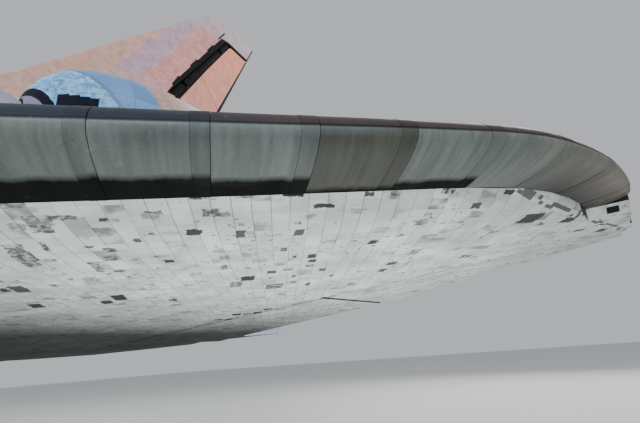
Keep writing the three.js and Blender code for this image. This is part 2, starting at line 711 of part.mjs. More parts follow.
function elevonRing(y0) {
  const radius = hingeThick(y0) / 2;
  const [, x0, z0] = hingeAxis(y0);
  const round = Array.from({ length: 9 }, (_, k) => {
    const a = (90 + (180 * k) / 8) * DEGREE;
    return place(y0, x0 + radius * Math.cos(a), z0 + radius * Math.sin(a));
  });
  const [tail, low] = [trailingX0(y0), trailingZ0(y0)];
  return [...round, place(y0, tail, low), place(y0, tail, low + TRAILING_THICK)];
}

function bodyFlap() {
  const ring = (side) => {
    const round = Array.from({ length: 9 }, (_, k) => {
      const a = (90 + (180 * k) / 8) * DEGREE;
      const [aft, rise] = [FLAP.radius * Math.cos(a), FLAP.radius * Math.sin(a)];
      return place(side * FLAP.halfWidth, FLAP.x0 + aft, FLAP.z0 + rise);
    });
    const y0 = side * FLAP.tailHalfWidth;
    return [...round, place(y0, FLAP.tail, FLAP.z0 - 5), place(y0, FLAP.tail, FLAP.z0 - 3)];
  };
  const slots = FLAP.lugs.map((y0) => {
    const half = FLAP.lugHalf + RUN;
    return box([y0 - half, y0 + half], [FLAP.x0 - 20, FLAP.x0 + 6], [FLAP.z0 - 20, FLAP.z0 + 20]);
  });
  const pinEnd = (y0) => [y0, FLAP.x0, FLAP.z0];
  const pins = FLAP.lugs.map((y0) => pinRod(pinEnd(y0 - 6), pinEnd(y0 + 6), FLAP.pin));
  return join(cut(loft([ring(1), ring(-1)]), ...slots), ...pins);
}

function elevon([y1, y2]) {
  const { radius, length } = ELEVON_PIN;
  const pins = [y1, y2].map((y0) => pinRod(hingeAxis(y0 - length), hingeAxis(y0 + length), radius));
  return join(loft([y1, y2].map(elevonRing)), ...pins);
}

// Fin, rudder hinge seal and the two rudder halves that also open as a speed brake
const FIN = { root: 480, tip: 815.7, lead: 1278, trail: 1546.3, base: 500, slope: 0.504 };
const RUDDER = {
  bottom: 612,
  top: 770,
  topGap: 3.6,
  cornerCut: 3.4,
  hinge: 1489.8, // x0 of the hinge line at hingeBase
  hingeBase: 573,
  hingeSlope: 0.6957,
};
const LEAN = Math.atan(RUDDER.hingeSlope);
const finLead = (z0) => FIN.lead + z0 - FIN.base;
const finTrail = (z0) => FIN.trail + (z0 - FIN.base) * FIN.slope;
const rudderHinge = (z0) => RUDDER.hinge + (z0 - RUDDER.hingeBase) * RUDDER.hingeSlope;
const finHalf = (z0) => 1.2 + (rudderHinge(z0) - finLead(z0)) * Math.tan(4.6 * DEGREE);
const sealRadius = (z0) => finHalf(z0) * 0.96;
// The hinge leans aft, so the seal is longer fore and aft than it is wide
const sealReach = (z0) => sealRadius(z0) / Math.cos(LEAN);
// A side view point: up the hinge line to z0, then square to it by so much aft
const offHinge = (z0, aft) => [rudderHinge(z0) + aft * Math.cos(LEAN), z0 - aft * Math.sin(LEAN)];

// The whole fin as a double wedge, thickest at the rudder's hinge line
function finBlock() {
  const ring = (z0, shrink = 1) => {
    const half = finHalf(z0) * shrink;
    const nose = [[0, finLead(z0)], [1.6 * shrink, finLead(z0) + 2.5]];
    const outline = [...nose, [half, rudderHinge(z0)], [0.8, finTrail(z0)]];
    const back = outline.slice(1).reverse().map(([y0, x0]) => [-y0, x0]);
    return [...outline, ...back].map(([y0, x0]) => place(y0, x0, z0));
  };
  const tipTrim = cut(
    box([-20, 20], [1688, 1720], [801, 830]),
    rod([-21, 1687, 800], [21, 1687, 800], 14.6, 14.6, 32),
  );
  const rings = [ring(FIN.root), ring(FIN.tip - 14), ring(FIN.tip - 4, 0.8), ring(FIN.tip, 0.45)];
  return cut(loft(rings), tipTrim);
}

// The rudder's side view: square to the hinge below, level at the top
function rudderOutline(front, slack) {
  const foot = RUDDER.bottom - slack;
  const top = RUDDER.top + slack * RUDDER.topGap;
  const far = offHinge(foot, 130);
  const topAt = (share, below) => [rudderHinge(top) + sealReach(top) * share, top - below];
  // The front corner is cut back, because the turning rudder also rises towards the fin's cap
  const corner = slack ? [topAt(front, 0)] : [topAt(1.2, 0), topAt(front, RUDDER.cornerCut)];
  const start = offHinge(foot, sealRadius(foot) * front);
  return [start, far, [far[0] + 60, far[1]], [1800, top], ...corner];
}

// A cone about the rudder hinge between two heights, as a share of the seal's radius
function sealCone(z1, z2, extra = 0, share = 1) {
  return rod(
    [0, rudderHinge(z1), z1],
    [0, rudderHinge(z2), z2],
    sealRadius(z1) * share + extra,
    sealRadius(z2) * share + extra,
    16,
  );
}

const GROOVES = [640, 745]; // heights at which the rudder halves' tongues reach into the seal
const GROOVE = { half: 3, share: 0.55 };
const SEAL_PIN = { radius: 1.6, length: 5 };
// The groove's ring and the core that is left inside it; a tongue's ring is shorter and its core larger
const CORE_SIDES = 32;
const groove = (z0, tongue = false) => {
  const half = GROOVE.half - (tongue ? RUN : 0);
  const [z1, z2] = [z0 - GROOVE.half - 1, z0 + GROOVE.half + 1];
  const radius = (z) => sealRadius(z) * GROOVE.share;
  const core = (z) => (tongue ? boreRadius(radius(z), CORE_SIDES) : radius(z));
  return [
    sealCone(z0 - half, z0 + half, 3),
    rod([0, rudderHinge(z1), z1], [0, rudderHinge(z2), z2], core(z1), core(z2), CORE_SIDES),
  ];
};

function sealPinEnds(length) {
  return [RUDDER.bottom - length, RUDDER.top + length].map((z0) => [0, rudderHinge(z0), z0]);
}

function hingeSeal() {
  const grooves = GROOVES.map((z0) => cut(...groove(z0)));
  const pin = pinRod(...sealPinEnds(SEAL_PIN.length), SEAL_PIN.radius);
  return join(cut(sealCone(RUDDER.bottom, RUDDER.top), ...grooves), pin);
}

function fin() {
  return cut(
    finBlock(),
    slab(rudderOutline(-0.8, 1), -30, 30),
    sealCone(RUDDER.bottom - 0.5, RUDDER.top + 0.5, RUN, 1.12),
    bore(...sealPinEnds(SEAL_PIN.length + PIN), SEAL_PIN.radius),
    tailEnvelope,
    box([-20, 20], [1270, BAY.rear + SEAT], [470, 560]),
    bellRoom(MAIN_ENGINES[0]),
    chuteHousing(SEAT),
  );
}

function rudderHalf() {
  const side = finBlock().intersect(box([0.2, 30], [1400, 1800], [500, 800]));
  const blank = (front) => side.intersect(slab(rudderOutline(front, 0), -30, 30));
  const panel = cut(blank(0.5), sealCone(RUDDER.bottom - 9, RUDDER.top + 9, RUN));
  const tongues = GROOVES.map((z0) => {
    const [ring, core] = groove(z0, true);
    return cut(blank(0.2), core).intersect(ring);
  });
  return join(panel, ...tongues);
}

// Drag parachute housing at the foot of the fin
function chuteHousing(grow = 0) {
  // columns: x0, z0, half width, half height
  const rings = [
    [1488, 520, 8, 10],
    [1505, 528, 11, 16],
    [1545, 535, 12, 20],
    [1556, 537, 10, 17],
  ].map(([x0, z0, w, h], i) => ellipse(0, x0 + grow * (i < 2 ? -1 : 1), z0, w + grow, h + grow, 16));
  return cut(loft(rings), tailEnvelope, bellRoom(MAIN_ENGINES[0]));
}

// Landing gear
const NOSE_GEAR = { x0: 392, wheel: 16, width: 8.8, spread: 11, top: 300, piston: 214, brace: 84 };
const MAIN_GEAR = {
  y0: 136,
  x0: 1168,
  wheel: 22.25, // radius
  width: 16, // of each tyre
  spread: 18.5, // from the leg to each tyre's middle
  top: 300,
  piston: 206, // z0 of the cylinder's lower end
  brace: 96, // how far ahead the drag brace starts
};
const AXLE = 2.6;
const AXLE_SIDES = 24;
const WHEEL_SIDES = 24;
// A loaded tyre is flat where it stands, so each wheel has a flat side below and not a corner
const FLAT_BELOW = Math.PI / WHEEL_SIDES;

// columns of the profiles: radius, distance from the wheel's middle
function tyre(y0, x0, radius, width) {
  const half = width / 2;
  const rim = radius * 0.56;
  const tread = radius / Math.cos(FLAT_BELOW);
  const z0 = GROUND_Z0 + radius;
  const profile = [
    [rim, -half * 0.62],
    [tread * 0.8, -half],
    [tread * 0.93, -half * 0.9],
    [tread, -half * 0.52],
    [tread, half * 0.52],
    [tread * 0.93, half * 0.9],
    [tread * 0.8, half],
    [rim, half * 0.62],
    [rim, -half * 0.62],
  ];
  return turned(profile, [y0, x0, z0], [y0 + 1, x0, z0], WHEEL_SIDES, FLAT_BELOW);
}

function wheelSet(y0, x0, gear) {
  const z0 = GROUND_Z0 + gear.wheel;
  const rim = gear.wheel * 0.56 - SEAT;
  const half = gear.width * 0.31;
  const disc = (side) => {
    const profile = [[0, -half * 0.5], [rim * 0.82, -half * 0.5], [rim, -half]];
    profile.push(...profile.map(([r, s]) => [r, -s]).reverse());
    const middle = y0 + side * gear.spread;
    return turned(profile, [middle, x0, z0], [middle + 1, x0, z0], WHEEL_SIDES, FLAT_BELOW);
  };
  return join(
    disc(1),
    disc(-1),
    rod([y0 - gear.spread, x0, z0], [y0 + gear.spread, x0, z0], AXLE, AXLE, AXLE_SIDES),
  );
}

// The housing that the axle turns in, and the hole through it
function axleHousing(y0, x0, gear) {
  const z0 = GROUND_Z0 + gear.wheel;
  const half = gear.spread - gear.width / 2 - 2.2;
  return {
    outside: rod([y0 - half, x0, z0], [y0 + half, x0, z0], AXLE + 2, AXLE + 2, 16),
    hole: bore([y0 - half - 1, x0, z0], [y0 + half + 1, x0, z0], AXLE, AXLE_SIDES),
  };
}

// The leg's cylinder with its collar, the trunnion across the well, the drag brace and the bar it swings on
function upperLeg(y0, gear, well, radii) {
  const { x0, top, piston, brace } = gear;
  const across = (at, z0, radius) => rod([well[0] + SEAT, at, z0], [well[1] - SEAT, at, z0], radius);
  return join(
    rod([y0, x0, piston], [y0, x0, top], radii.cylinder),
    rod([y0, x0, piston], [y0, x0, piston + radii.collar + 1], radii.collar),
    across(x0, top - radii.trunnion / 2, radii.trunnion),
    rod([y0, x0, piston + radii.cylinder * 5], [y0, x0 - brace, top], radii.brace),
    across(x0 - brace, top, radii.brace),
  );
}

function noseGear() {
  const { x0, piston, wheel } = NOSE_GEAR;
  const radii = { cylinder: 4.6, collar: 6, trunnion: 3, brace: 2.4 };
  const leg = upperLeg(0, NOSE_GEAR, [-NOSE_WELL.y, NOSE_WELL.y], radii);
  add("nose_gear_leg", leg, MATERIALS.steel);
  const housing = axleHousing(0, x0, NOSE_GEAR);
  const fork = join(
    rod([0, x0, GROUND_Z0 + wheel], [0, x0, piston - SEAT], 3.2),
    housing.outside,
    rod([0, x0 + 4, 168], [0, x0 + 11, 186], 1.3, 1.3, 8),
    rod([0, x0 + 11, 186], [0, x0 + 4, 206], 1.3, 1.3, 8),
    rod([0, x0, 204], [0, x0, 209], 5),
  );
  add("nose_gear_piston", cut(fork, housing.hole), MATERIALS.steel);
  add("nose_wheel_rims", wheelSet(0, x0, NOSE_GEAR), MATERIALS.steel);
  for (const [name, side] of [["nose_tyre_left", 1], ["nose_tyre_right", -1]]) {
    add(name, tyre(side * NOSE_GEAR.spread, x0, wheel, NOSE_GEAR.width), MATERIALS.tyre);
  }
}

function mainLeg() {
  const { y0, x0, piston, wheel } = MAIN_GEAR;
  const radii = { cylinder: 7, collar: 8.6, trunnion: 4.4, brace: 3.2 };
  const housing = axleHousing(y0, x0, MAIN_GEAR);
  const leg = join(
    upperLeg(y0, MAIN_GEAR, MAIN_WELL.y, radii),
    rod([y0, x0, GROUND_Z0 + wheel], [y0, x0, piston + 2], 4.6),
    rod([y0, x0 + 4, 168], [y0, x0 + 15, 188], 1.8, 1.8, 8),
    rod([y0, x0 + 15, 188], [y0, x0 + 6, 210], 1.8, 1.8, 8),
    housing.outside,
  );
  return cut(leg, housing.hole);
}

// Gear doors hang open from the outer edges of the wells, each on two arms
const GEAR_DOOR = { thickness: 2.4, arm: 3 };

function gearDoor(well, outerY, drop, skinZ) {
  const [x1, x2] = [well[0] + 1, well[1] - 1];
  const plate = box([outerY - GEAR_DOOR.thickness - 1, outerY - 1], [x1, x2], [skinZ - drop, skinZ - 1]);
  const arms = [0.2, 0.8].map((share) => {
    const x0 = mix(x1, x2, share);
    return box([outerY - GEAR_DOOR.thickness - 1, outerY - SEAT], [x0 - 3, x0 + 3], [skinZ - 6, skinZ + 10]);
  });
  return join(plate, ...arms);
}

// Building
forwardFuselage();
flightDeck();
midFuselage();
aftFuselage();

const portPieces = [
  ["payload_door", payloadDoor(), MATERIALS.radiator],
  ["engine_pod", pod(), MATERIALS.blanket],
  ["orbit_engine", cut(podEngine(), pod()), MATERIALS.nozzle],
  ["wing", wing(), MATERIALS.greyTile],
  ["leading_edge", leadingEdge(), MATERIALS.carbon],
  ...ELEVONS.map(({ name, y }) => [name, elevon(y), MATERIALS.greyTile]),
  ["main_gear_leg", mainLeg(), MATERIALS.steel],
  ["main_wheel_rims", wheelSet(MAIN_GEAR.y0, MAIN_GEAR.x0, MAIN_GEAR), MATERIALS.steel],
  ...[["main_tyre_outer", 1], ["main_tyre_inner", -1]].map(([name, side]) => [
    name,
    tyre(MAIN_GEAR.y0 + side * MAIN_GEAR.spread, MAIN_GEAR.x0, MAIN_GEAR.wheel, MAIN_GEAR.width),
    MATERIALS.tyre,
  ]),
  ["main_gear_door", gearDoor(MAIN_WELL.x, MAIN_WELL.y[1], 62, 273), MATERIALS.blackTile],
  ["nose_gear_door", gearDoor(NOSE_WELL.x, NOSE_WELL.y, 22, 278), MATERIALS.blackTile],
];
for (const [name, shape, material] of portPieces) {
  add(`${name}_left`, shape, material);
  add(`${name}_right`, mirrored(shape), material);
}

add("body_flap", bodyFlap(), MATERIALS.blackTile);
add("fin", fin(), MATERIALS.whiteTile);
add("rudder_hinge_seal", hingeSeal(), MATERIALS.blackTile);
add("rudder_left", rudderHalf(), MATERIALS.whiteTile);
add("rudder_right", mirrored(rudderHalf()), MATERIALS.whiteTile);
add("parachute_housing", chuteHousing(), MATERIALS.blanket);
noseGear();

export default orbiter;
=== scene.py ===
# %% [markdown]
# # A winged space shuttle orbiter, parked on its landing gear
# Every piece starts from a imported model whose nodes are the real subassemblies: wings, carbon leading
# edges, elevons, fin, rudder halves, engine pods, doors and gear. This lesson dresses them. Each step says
# what the piece is on the real craft, how it could be made in Blender, and why it is made this way.

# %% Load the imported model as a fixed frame
import json
import math
import bmesh
import bpy
import numpy as np
from mathutils import Matrix, Vector
from mathutils.bvhtree import BVHTree

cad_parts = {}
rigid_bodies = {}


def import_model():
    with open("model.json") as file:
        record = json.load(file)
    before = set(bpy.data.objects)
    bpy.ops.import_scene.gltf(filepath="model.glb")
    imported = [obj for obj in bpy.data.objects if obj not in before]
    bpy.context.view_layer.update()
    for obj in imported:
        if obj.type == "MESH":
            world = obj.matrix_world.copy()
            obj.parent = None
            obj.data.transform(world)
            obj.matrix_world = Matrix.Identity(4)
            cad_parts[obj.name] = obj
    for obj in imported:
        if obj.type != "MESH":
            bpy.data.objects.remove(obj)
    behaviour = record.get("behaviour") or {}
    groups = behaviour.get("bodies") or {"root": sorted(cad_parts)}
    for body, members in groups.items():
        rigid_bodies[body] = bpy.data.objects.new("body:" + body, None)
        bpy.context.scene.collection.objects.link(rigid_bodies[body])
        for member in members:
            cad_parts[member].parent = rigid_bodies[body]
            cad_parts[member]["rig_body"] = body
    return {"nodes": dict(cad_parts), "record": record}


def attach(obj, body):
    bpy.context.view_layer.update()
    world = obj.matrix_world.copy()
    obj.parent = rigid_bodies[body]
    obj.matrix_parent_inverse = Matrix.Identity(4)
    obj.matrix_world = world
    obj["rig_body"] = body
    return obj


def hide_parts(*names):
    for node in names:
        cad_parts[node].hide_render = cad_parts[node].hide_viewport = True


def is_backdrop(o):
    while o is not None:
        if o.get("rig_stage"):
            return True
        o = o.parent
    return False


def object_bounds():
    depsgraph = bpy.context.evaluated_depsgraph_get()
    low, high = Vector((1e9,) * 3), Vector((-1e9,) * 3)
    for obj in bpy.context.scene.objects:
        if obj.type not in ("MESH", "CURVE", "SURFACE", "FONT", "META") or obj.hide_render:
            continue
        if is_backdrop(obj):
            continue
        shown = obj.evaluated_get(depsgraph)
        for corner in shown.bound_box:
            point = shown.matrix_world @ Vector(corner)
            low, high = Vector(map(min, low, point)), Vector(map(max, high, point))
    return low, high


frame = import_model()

cad_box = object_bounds()
nodes = frame["nodes"]
SLOT_OF = {row["node"]: row["material_slot"] for row in frame["record"]["subparts"]}

# %% [markdown]
# ## The craft's own scales
# Real orbiters are drawn in inches: x0 runs aft, y0 out to port and z0 up. Writing places on those scales
# keeps the numbers close to the drawings, and one small function turns them into metres. Tables hold the
# few measured stations of a shape, and `read` draws straight lines between their rows.

# %% Inches on the craft's scales, and small sums
INCH = 0.0254
MIDDLE_X0 = 968.3
GROUND_Z0 = 136.0
SIDES = (("left", 1), ("right", -1))


def place(y0, x0, z0):
    return Vector((y0 * INCH, (x0 - MIDDLE_X0) * INCH, (z0 - GROUND_Z0) * INCH))


def scales(point):
    return point[0] / INCH, point[1] / INCH + MIDDLE_X0, point[2] / INCH + GROUND_Z0


def between(a, b, share):
    return a + (b - a) * share


def read(table, at, column):
    if at <= table[0][0]:
        return table[0][column]
    for low, high in zip(table, table[1:]):
        if high[0] >= at:
            return between(low[column], high[column], (at - low[0]) / (high[0] - low[0]))
    return table[-1][column]


print("an inch is", INCH, "m, the ground lies at z0", GROUND_Z0)

# %% [markdown]
# ## Shaders written as sums
# Tiles, seams and stains are sums over the place on the craft. A shader tree draws such sums as dozens of
# small boxes, so a wire here is an object that knows + - * and /, and every other node is made by one
# method. The place is the object's own coordinates turned into the craft's inches: a tile keeps its place
# when the elevon that carries it moves, and the same numbers serve the shape and its paint.

# %% Wires
class Wire:
    """One value on its way through a shader."""

    def __init__(self, paint, socket):
        self.paint = paint
        self.socket = socket

    def math(self, operation, *others):
        return self.paint.node("ShaderNodeMath", {"operation": operation}, [self, *others])

    def __add__(self, other):
        return self.math("ADD", other)

    def __mul__(self, other):
        return self.math("MULTIPLY", other)

    def __sub__(self, other):
        return self.math("SUBTRACT", other)

    def __truediv__(self, other):
        return self.math("DIVIDE", other)

    def __rsub__(self, other):
        return self * -1 + other

    def __rtruediv__(self, other):
        return self.paint.node("ShaderNodeMath", {"operation": "DIVIDE"}, [other, self])

    __radd__ = __add__
    __rmul__ = __mul__

    def floor(self):
        return self.math("FLOOR")

    def fract(self):
        return self.math("FRACT")

    def size(self):
        return self.math("ABSOLUTE")

    def least(self, other):
        return self.math("MINIMUM", other)

    def most(self, other):
        return self.math("MAXIMUM", other)

    def ramp(self, low, high, start=0.0, end=1.0):
        """Straight from start at low to end at high, and level beyond them."""
        names = {"Value": self, "From Min": low, "From Max": high, "To Min": start, "To Max": end}
        return self.paint.node("ShaderNodeMapRange", {"clamp": True}, names)


def methods(kind):
    return ", ".join(name for name in vars(kind) if name[0] != "_")


print("a wire knows + - * / and", methods(Wire))

# %% [markdown]
# ## Colours, noises and grids
# A colour is easiest to judge as a screen shows it, but the renderer wants amounts of light, so `tone` turns
# one into the other. A paint owns one material. It can draw cloudy noise, a random value for each cell and
# the joints of a grid, and these three are all that tiles, blankets, stains and wear need.

# %% Paints
def tone(red, green, blue):
    """A colour as it is read off a screen, 0 to 255, as the renderer's own light values."""
    def light(c):
        c = c / 255
        return c / 12.92 if c <= 0.04045 else ((c + 0.055) / 1.055) ** 2.4
    return (light(red), light(green), light(blue), 1.0)


MIX_SHARE, MIX_FIRST, MIX_SECOND, MIX_RESULT = 0, 6, 7, 2  # the Mix node's sockets when it mixes colours


class Paint:
    """A material whose colour and bump are sums over the craft's scales."""

    def __init__(self, name, roughness=0.8, metallic=0.0, coat=0.0, specular=0.15):
        self.material = bpy.data.materials.new(name)
        self.material.use_nodes = True
        self.tree = self.material.node_tree
        self.shader = self.tree.nodes["Principled BSDF"]
        self.shader.inputs["Roughness"].default_value = roughness
        self.shader.inputs["Metallic"].default_value = metallic
        self.shader.inputs["Coat Weight"].default_value = coat
        self.shader.inputs["Specular IOR Level"].default_value = specular
        object_place = self.node("ShaderNodeTexCoord", {}, [], "Object")
        shift = (0.0, MIDDLE_X0, GROUND_Z0)
        scale = (1 / INCH, 1 / INCH, 1 / INCH)
        self.place = self.vector("MULTIPLY_ADD", object_place, scale, shift)
        self.y0, self.x0, self.z0 = self.parts(self.place)

    def node(self, kind, settings, sockets, output=0):
        made = self.tree.nodes.new(kind)
        for name, value in settings.items():
            setattr(made, name, value)
        for key, value in sockets.items() if isinstance(sockets, dict) else enumerate(sockets):
            if isinstance(value, Wire):
                self.tree.links.new(value.socket, made.inputs[key])
            else:
                made.inputs[key].default_value = value
        return Wire(self, made.outputs[output])

    def vector(self, operation, *values, output=0):
        return self.node("ShaderNodeVectorMath", {"operation": operation}, list(values), output)

    def parts(self, vector):
        split = self.node("ShaderNodeSeparateXYZ", {}, [vector])
        return [Wire(self, split.socket.node.outputs[i]) for i in range(3)]

    def point(self, x, y, z=0.0):
        return self.node("ShaderNodeCombineXYZ", {}, [x, y, z])

    def attribute(self, name):
        return self.parts(self.node("ShaderNodeAttribute", {"attribute_name": name}, [], "Vector"))

    def noise(self, size, detail=3.0, at=None):
        """Cloudy values about 0.5 whose blotches are this many inches across."""
        names = {"Vector": at or self.place, "Scale": 1.0 / size, "Detail": detail}
        return self.node("ShaderNodeTexNoise", {}, names)

    def chance(self, x, y, z=0.0):
        """A random value from 0 to 1 that is the same all over one whole numbered cell."""
        return self.node("ShaderNodeTexWhiteNoise", {"noise_dimensions": "3D"}, [self.point(x, y, z)])

    def blend(self, share, a, b):
        sockets = {MIX_SHARE: share, MIX_FIRST: a, MIX_SECOND: b}
        return self.node("ShaderNodeMix", {"data_type": "RGBA"}, sockets, MIX_RESULT)

    def shade(self, colour, factor):
        """The colour made lighter or darker by a factor."""
        grey = self.point(factor, factor, factor) if isinstance(factor, Wire) else (factor,) * 3
        return self.vector("MULTIPLY", colour[:3] if isinstance(colour, tuple) else colour, grey)

    def grid(self, u, v, pitch, joint, shares=(1.0, 1.0)):
        """Joints of a grid (up to 1 in the joint), and the whole numbers of the cell."""
        gaps = []
        for value, step, share in zip((u, v), pitch, shares):
            off_middle = ((value / step).fract() - 0.5).size() * step
            gaps.append(off_middle.ramp(step / 2 - joint * 1.4, step / 2 - joint * 0.4, 0, share))
        return gaps[0].most(gaps[1]), (u / pitch[0]).floor(), (v / pitch[1]).floor()

    def finish(self, colour=None, height=None, bump=0.3, depth=0.004, **sockets):
        if colour is not None:
            sockets["Base Color"] = colour
        if height is not None:
            names = {"Height": height, "Strength": bump, "Distance": depth}
            sockets["Normal"] = self.node("ShaderNodeBump", {}, names)
        for name, value in sockets.items():
            self.tree.links.new(value.socket, self.shader.inputs[name])
        return self.material


print("mid grey on the screen is light of", round(tone(128, 128, 128)[0], 3))

# %% [markdown]
# ## The pale tiles of the underside
# The underside is laid with square silica tiles. Their rows run along the leading edge, and the cross
# joints lean a little off square to it. The blotches and nearly black new tiles that the photograph shows
# lie at measured places: u is the distance behind the edge's nose line and v the distance along it. A
# table of boxes is the plainest way to say where they are, because no rule of the craft sets their places.

# %% Where the underside's dark tiles lie
# columns: u, v, half size along u, half size along v, darkness
PATCHES = [
    (119.7, 506.9, 6, 2.6, 0.93), (128.1, 500.3, 3.9, 2.4, 0.93), (123.4, 473.7, 4.5, 2.5, 0.9),
    (90.6, 479.1, 5.3, 2.5, 0.85), (90.2, 474.4, 3.1, 1.5, 0.9), (100.6, 561.3, 4.2, 2.9, 0.93),
    (110.7, 556.6, 5.5, 2.7, 0.7), (122.1, 575.2, 5.8, 4.1, 0.75), (203.4, 560.6, 4, 2.8, 0.93),
    (205.4, 567.4, 3, 2.6, 0.93), (204, 573.8, 4, 2.7, 0.93), (193.1, 579.4, 3, 2.7, 0.93),
    (219.9, 549.3, 3, 2.8, 0.85), (223, 556, 3, 2.4, 0.85),
    (40.3, 541.9, 1.8, 2.1, 0.9), (42.6, 555.6, 2.6, 1.4, 0.85), (36.7, 555.3, 0.8, 0.9, 0.5),
    (43.3, 573.5, 2.5, 1.6, 0.85), (37.1, 572.3, 0.9, 1.1, 0.8), (30.1, 546.9, 1.8, 2.5, 0.72),
    (31, 550.7, 1.1, 1.6, 0.5), (30.8, 531.2, 1.5, 2.2, 0.42), (29.1, 532.2, 0.8, 2.2, 0.7),
    (31.8, 519.3, 1, 1.2, 0.8), (32.2, 521.8, 0.8, 1.4, 0.45), (31.5, 504.1, 2.3, 3.3, 0.6),
    (30.3, 509.9, 1, 3.2, 0.75), (35.6, 503.8, 2.1, 2.5, 0.75), (34, 498.6, 1.6, 2, 0.45),
    (46.2, 493.6, 2.5, 2.3, 0.7), (53, 493.7, 4.3, 2.9, 0.75), (59.3, 493.4, 3.8, 2.3, 0.7),
    (46.2, 501.3, 2.6, 0.8, 0.8), (57.7, 499.1, 1.4, 1.8, 0.7), (47.5, 512.5, 0.8, 1.3, 0.8),
    (51, 517.2, 1.9, 1.8, 0.75), (58.6, 516, 2.1, 1.9, 0.75), (68.2, 510.1, 4.7, 1.3, 0.75),
    (61.9, 508.8, 1.1, 0.8, 0.8), (74, 515.6, 1.5, 1.7, 0.75), (83.9, 504.2, 4.2, 2.4, 0.5),
    (80.9, 498.4, 1.9, 0.8, 0.75), (88.2, 490.6, 1.7, 1.2, 0.7), (44.2, 526, 1.3, 1, 0.85),
    (40.3, 530.2, 0.9, 0.8, 0.65), (59.1, 530.9, 1.2, 2.4, 0.6), (65, 532.7, 1.9, 1.6, 0.9),
    (60.9, 522.6, 1, 1.2, 0.6), (85.5, 540.6, 2.1, 2.1, 0.5), (136.2, 527.8, 3.6, 1.9, 0.8),
    (106.6, 518.5, 1.9, 1.4, 0.6), (105.9, 522.9, 3.1, 2.1, 0.35), (56.5, 548.9, 2.1, 1.6, 0.45),
    (64.4, 551, 2.5, 1.7, 0.55), (78.1, 551.2, 2.7, 1.1, 0.8), (69.8, 545.4, 1.5, 0.8, 0.5),
    (73.1, 563.7, 2.7, 2.7, 0.4), (92.1, 570.4, 2.7, 1.8, 0.85), (102.7, 571.1, 2, 0.8, 0.7),
    (59.2, 571, 2.3, 1.2, 0.8), (69.9, 576.6, 1.8, 0.8, 0.85), (70.6, 583, 2.7, 1.7, 0.9),
    (77.6, 584.7, 2.3, 1.4, 0.9), (85.1, 585.1, 1.8, 1.6, 0.75), (89.5, 576.9, 1.8, 2, 0.75),
    (102.8, 581.5, 2, 1, 0.8), (116, 583.4, 2.5, 1.2, 0.8), (122.8, 591.6, 3.5, 1.1, 0.85),
    (28.3, 576.6, 0.8, 1.1, 0.85), (33.3, 575.4, 1.4, 1.6, 0.45), (44.4, 559.3, 1.4, 1.3, 0.45),
    (44.5, 564.9, 1, 3.8, 0.35), (23.5, 555.8, 0.8, 2.4, 0.65), (23.2, 568.8, 0.8, 2.8, 0.95),
    (23.5, 543.1, 0.8, 1.6, 0.85), (23.7, 546.7, 0.8, 1.5, 0.5), (24.7, 500.7, 0.9, 2.7, 0.65),
    (26.7, 504.4, 1, 1.7, 0.35), (29.3, 628.4, 1.4, 1.7, 0.85), (34.4, 630.9, 2.2, 2.5, 0.5),
    (39.2, 655.4, 4.1, 3.7, 0.9), (42.8, 674.4, 2.6, 2.8, 0.9), (38.7, 613.7, 2.3, 2.2, 0.7),
    (56.5, 602.8, 2.2, 1.7, 0.92), (74.4, 626.6, 3.9, 2.4, 0.65), (50, 610.7, 1.6, 1, 0.8),
    (23.5, 591.1, 0.8, 1.4, 0.85), (23.5, 598.5, 0.8, 1.1, 0.75), (22.5, 615.5, 1.2, 2.1, 0.8),
    (23.8, 637.2, 0.9, 1.7, 0.9), (28.1, 578.8, 0.8, 2.7, 0.92), (44.1, 601.5, 2.5, 2.4, 0.45),
    (31, 589.9, 1.3, 2.5, 0.35), (91.9, 623.8, 2.7, 2.2, 0.85), (104.4, 623.9, 3.2, 1.7, 0.85),
    (94.1, 592.6, 2.4, 1.4, 0.85), (108, 599.8, 2.4, 0.8, 0.85), (88.4, 658.5, 2.7, 2.9, 0.8),
    (57.3, 692.3, 1.7, 2.3, 0.75), (59, 705, 2.4, 2.1, 0.85), (46.1, 664.8, 2, 1.4, 0.7),
    (33.7, 613.6, 1, 1.2, 0.75), (58.9, 679.2, 2, 2.7, 0.5),
]
REAR_PATCHES = [row for row in PATCHES if row[0] > 180]  # these reach over the hinge onto the elevon
print("dark places", len(PATCHES), "of which on the elevons", len(REAR_PATCHES))

# %% [markdown]
# ## Tiles, stains and chips
# Each tile has weathered by itself, so every cell of the grid gets its own tone. Chips and soft stains are
# spread over the rest by noise, because no two tiles of such a craft look alike. A noise also bends the
# outlines of the dark places, so that they look torn rather than ruled. The tests for the boxes are plain
# Math nodes: a hundred of them in vector nodes would be more than the renderer can hold for one shader.

# %% Underside tiles
EDGE_LINE = 836  # x0 - y0 on the straight leading edge's nose line
LEAN = 0.13  # how much the cross joints lean along the edge
TILE_BEHIND, TILE_ALONG, FIRST_JOINT = 5.1, 5.4, 2
HINGE_X0 = 1387
CLEAR_DARK = 0.84  # a place darker than this is a whole new tile and isn't torn
NEW_TILE, JOINT_GREY = tone(9, 11, 13), tone(46, 52, 56)


def edge_scales(paint):
    """Distances behind and along the leading edge, the same for both wings."""
    out = paint.y0.size()
    behind = (paint.x0 - EDGE_LINE - out) * math.sqrt(0.5)
    along = (paint.x0 - EDGE_LINE + out) * math.sqrt(0.5)
    return behind, along


def dark_places(paint, behind, along, dark, places):
    """The darkest of what is there and of the table's boxes, with bent outlines."""
    torn = paint.noise(1.7, 5)
    wobble = (paint.noise(1.6, 5) - 0.5) * 2.2
    behind, along = behind + wobble, along + wobble
    ragged = torn.ramp(0.4, 0.52, 0.4, 1.1)
    for u, v, half_u, half_v, darkness in places:
        inside = behind.math("COMPARE", u, half_u) * along.math("COMPARE", v, half_v)
        dark = dark.most(inside * darkness if darkness > CLEAR_DARK else inside * darkness * ragged)
    return dark


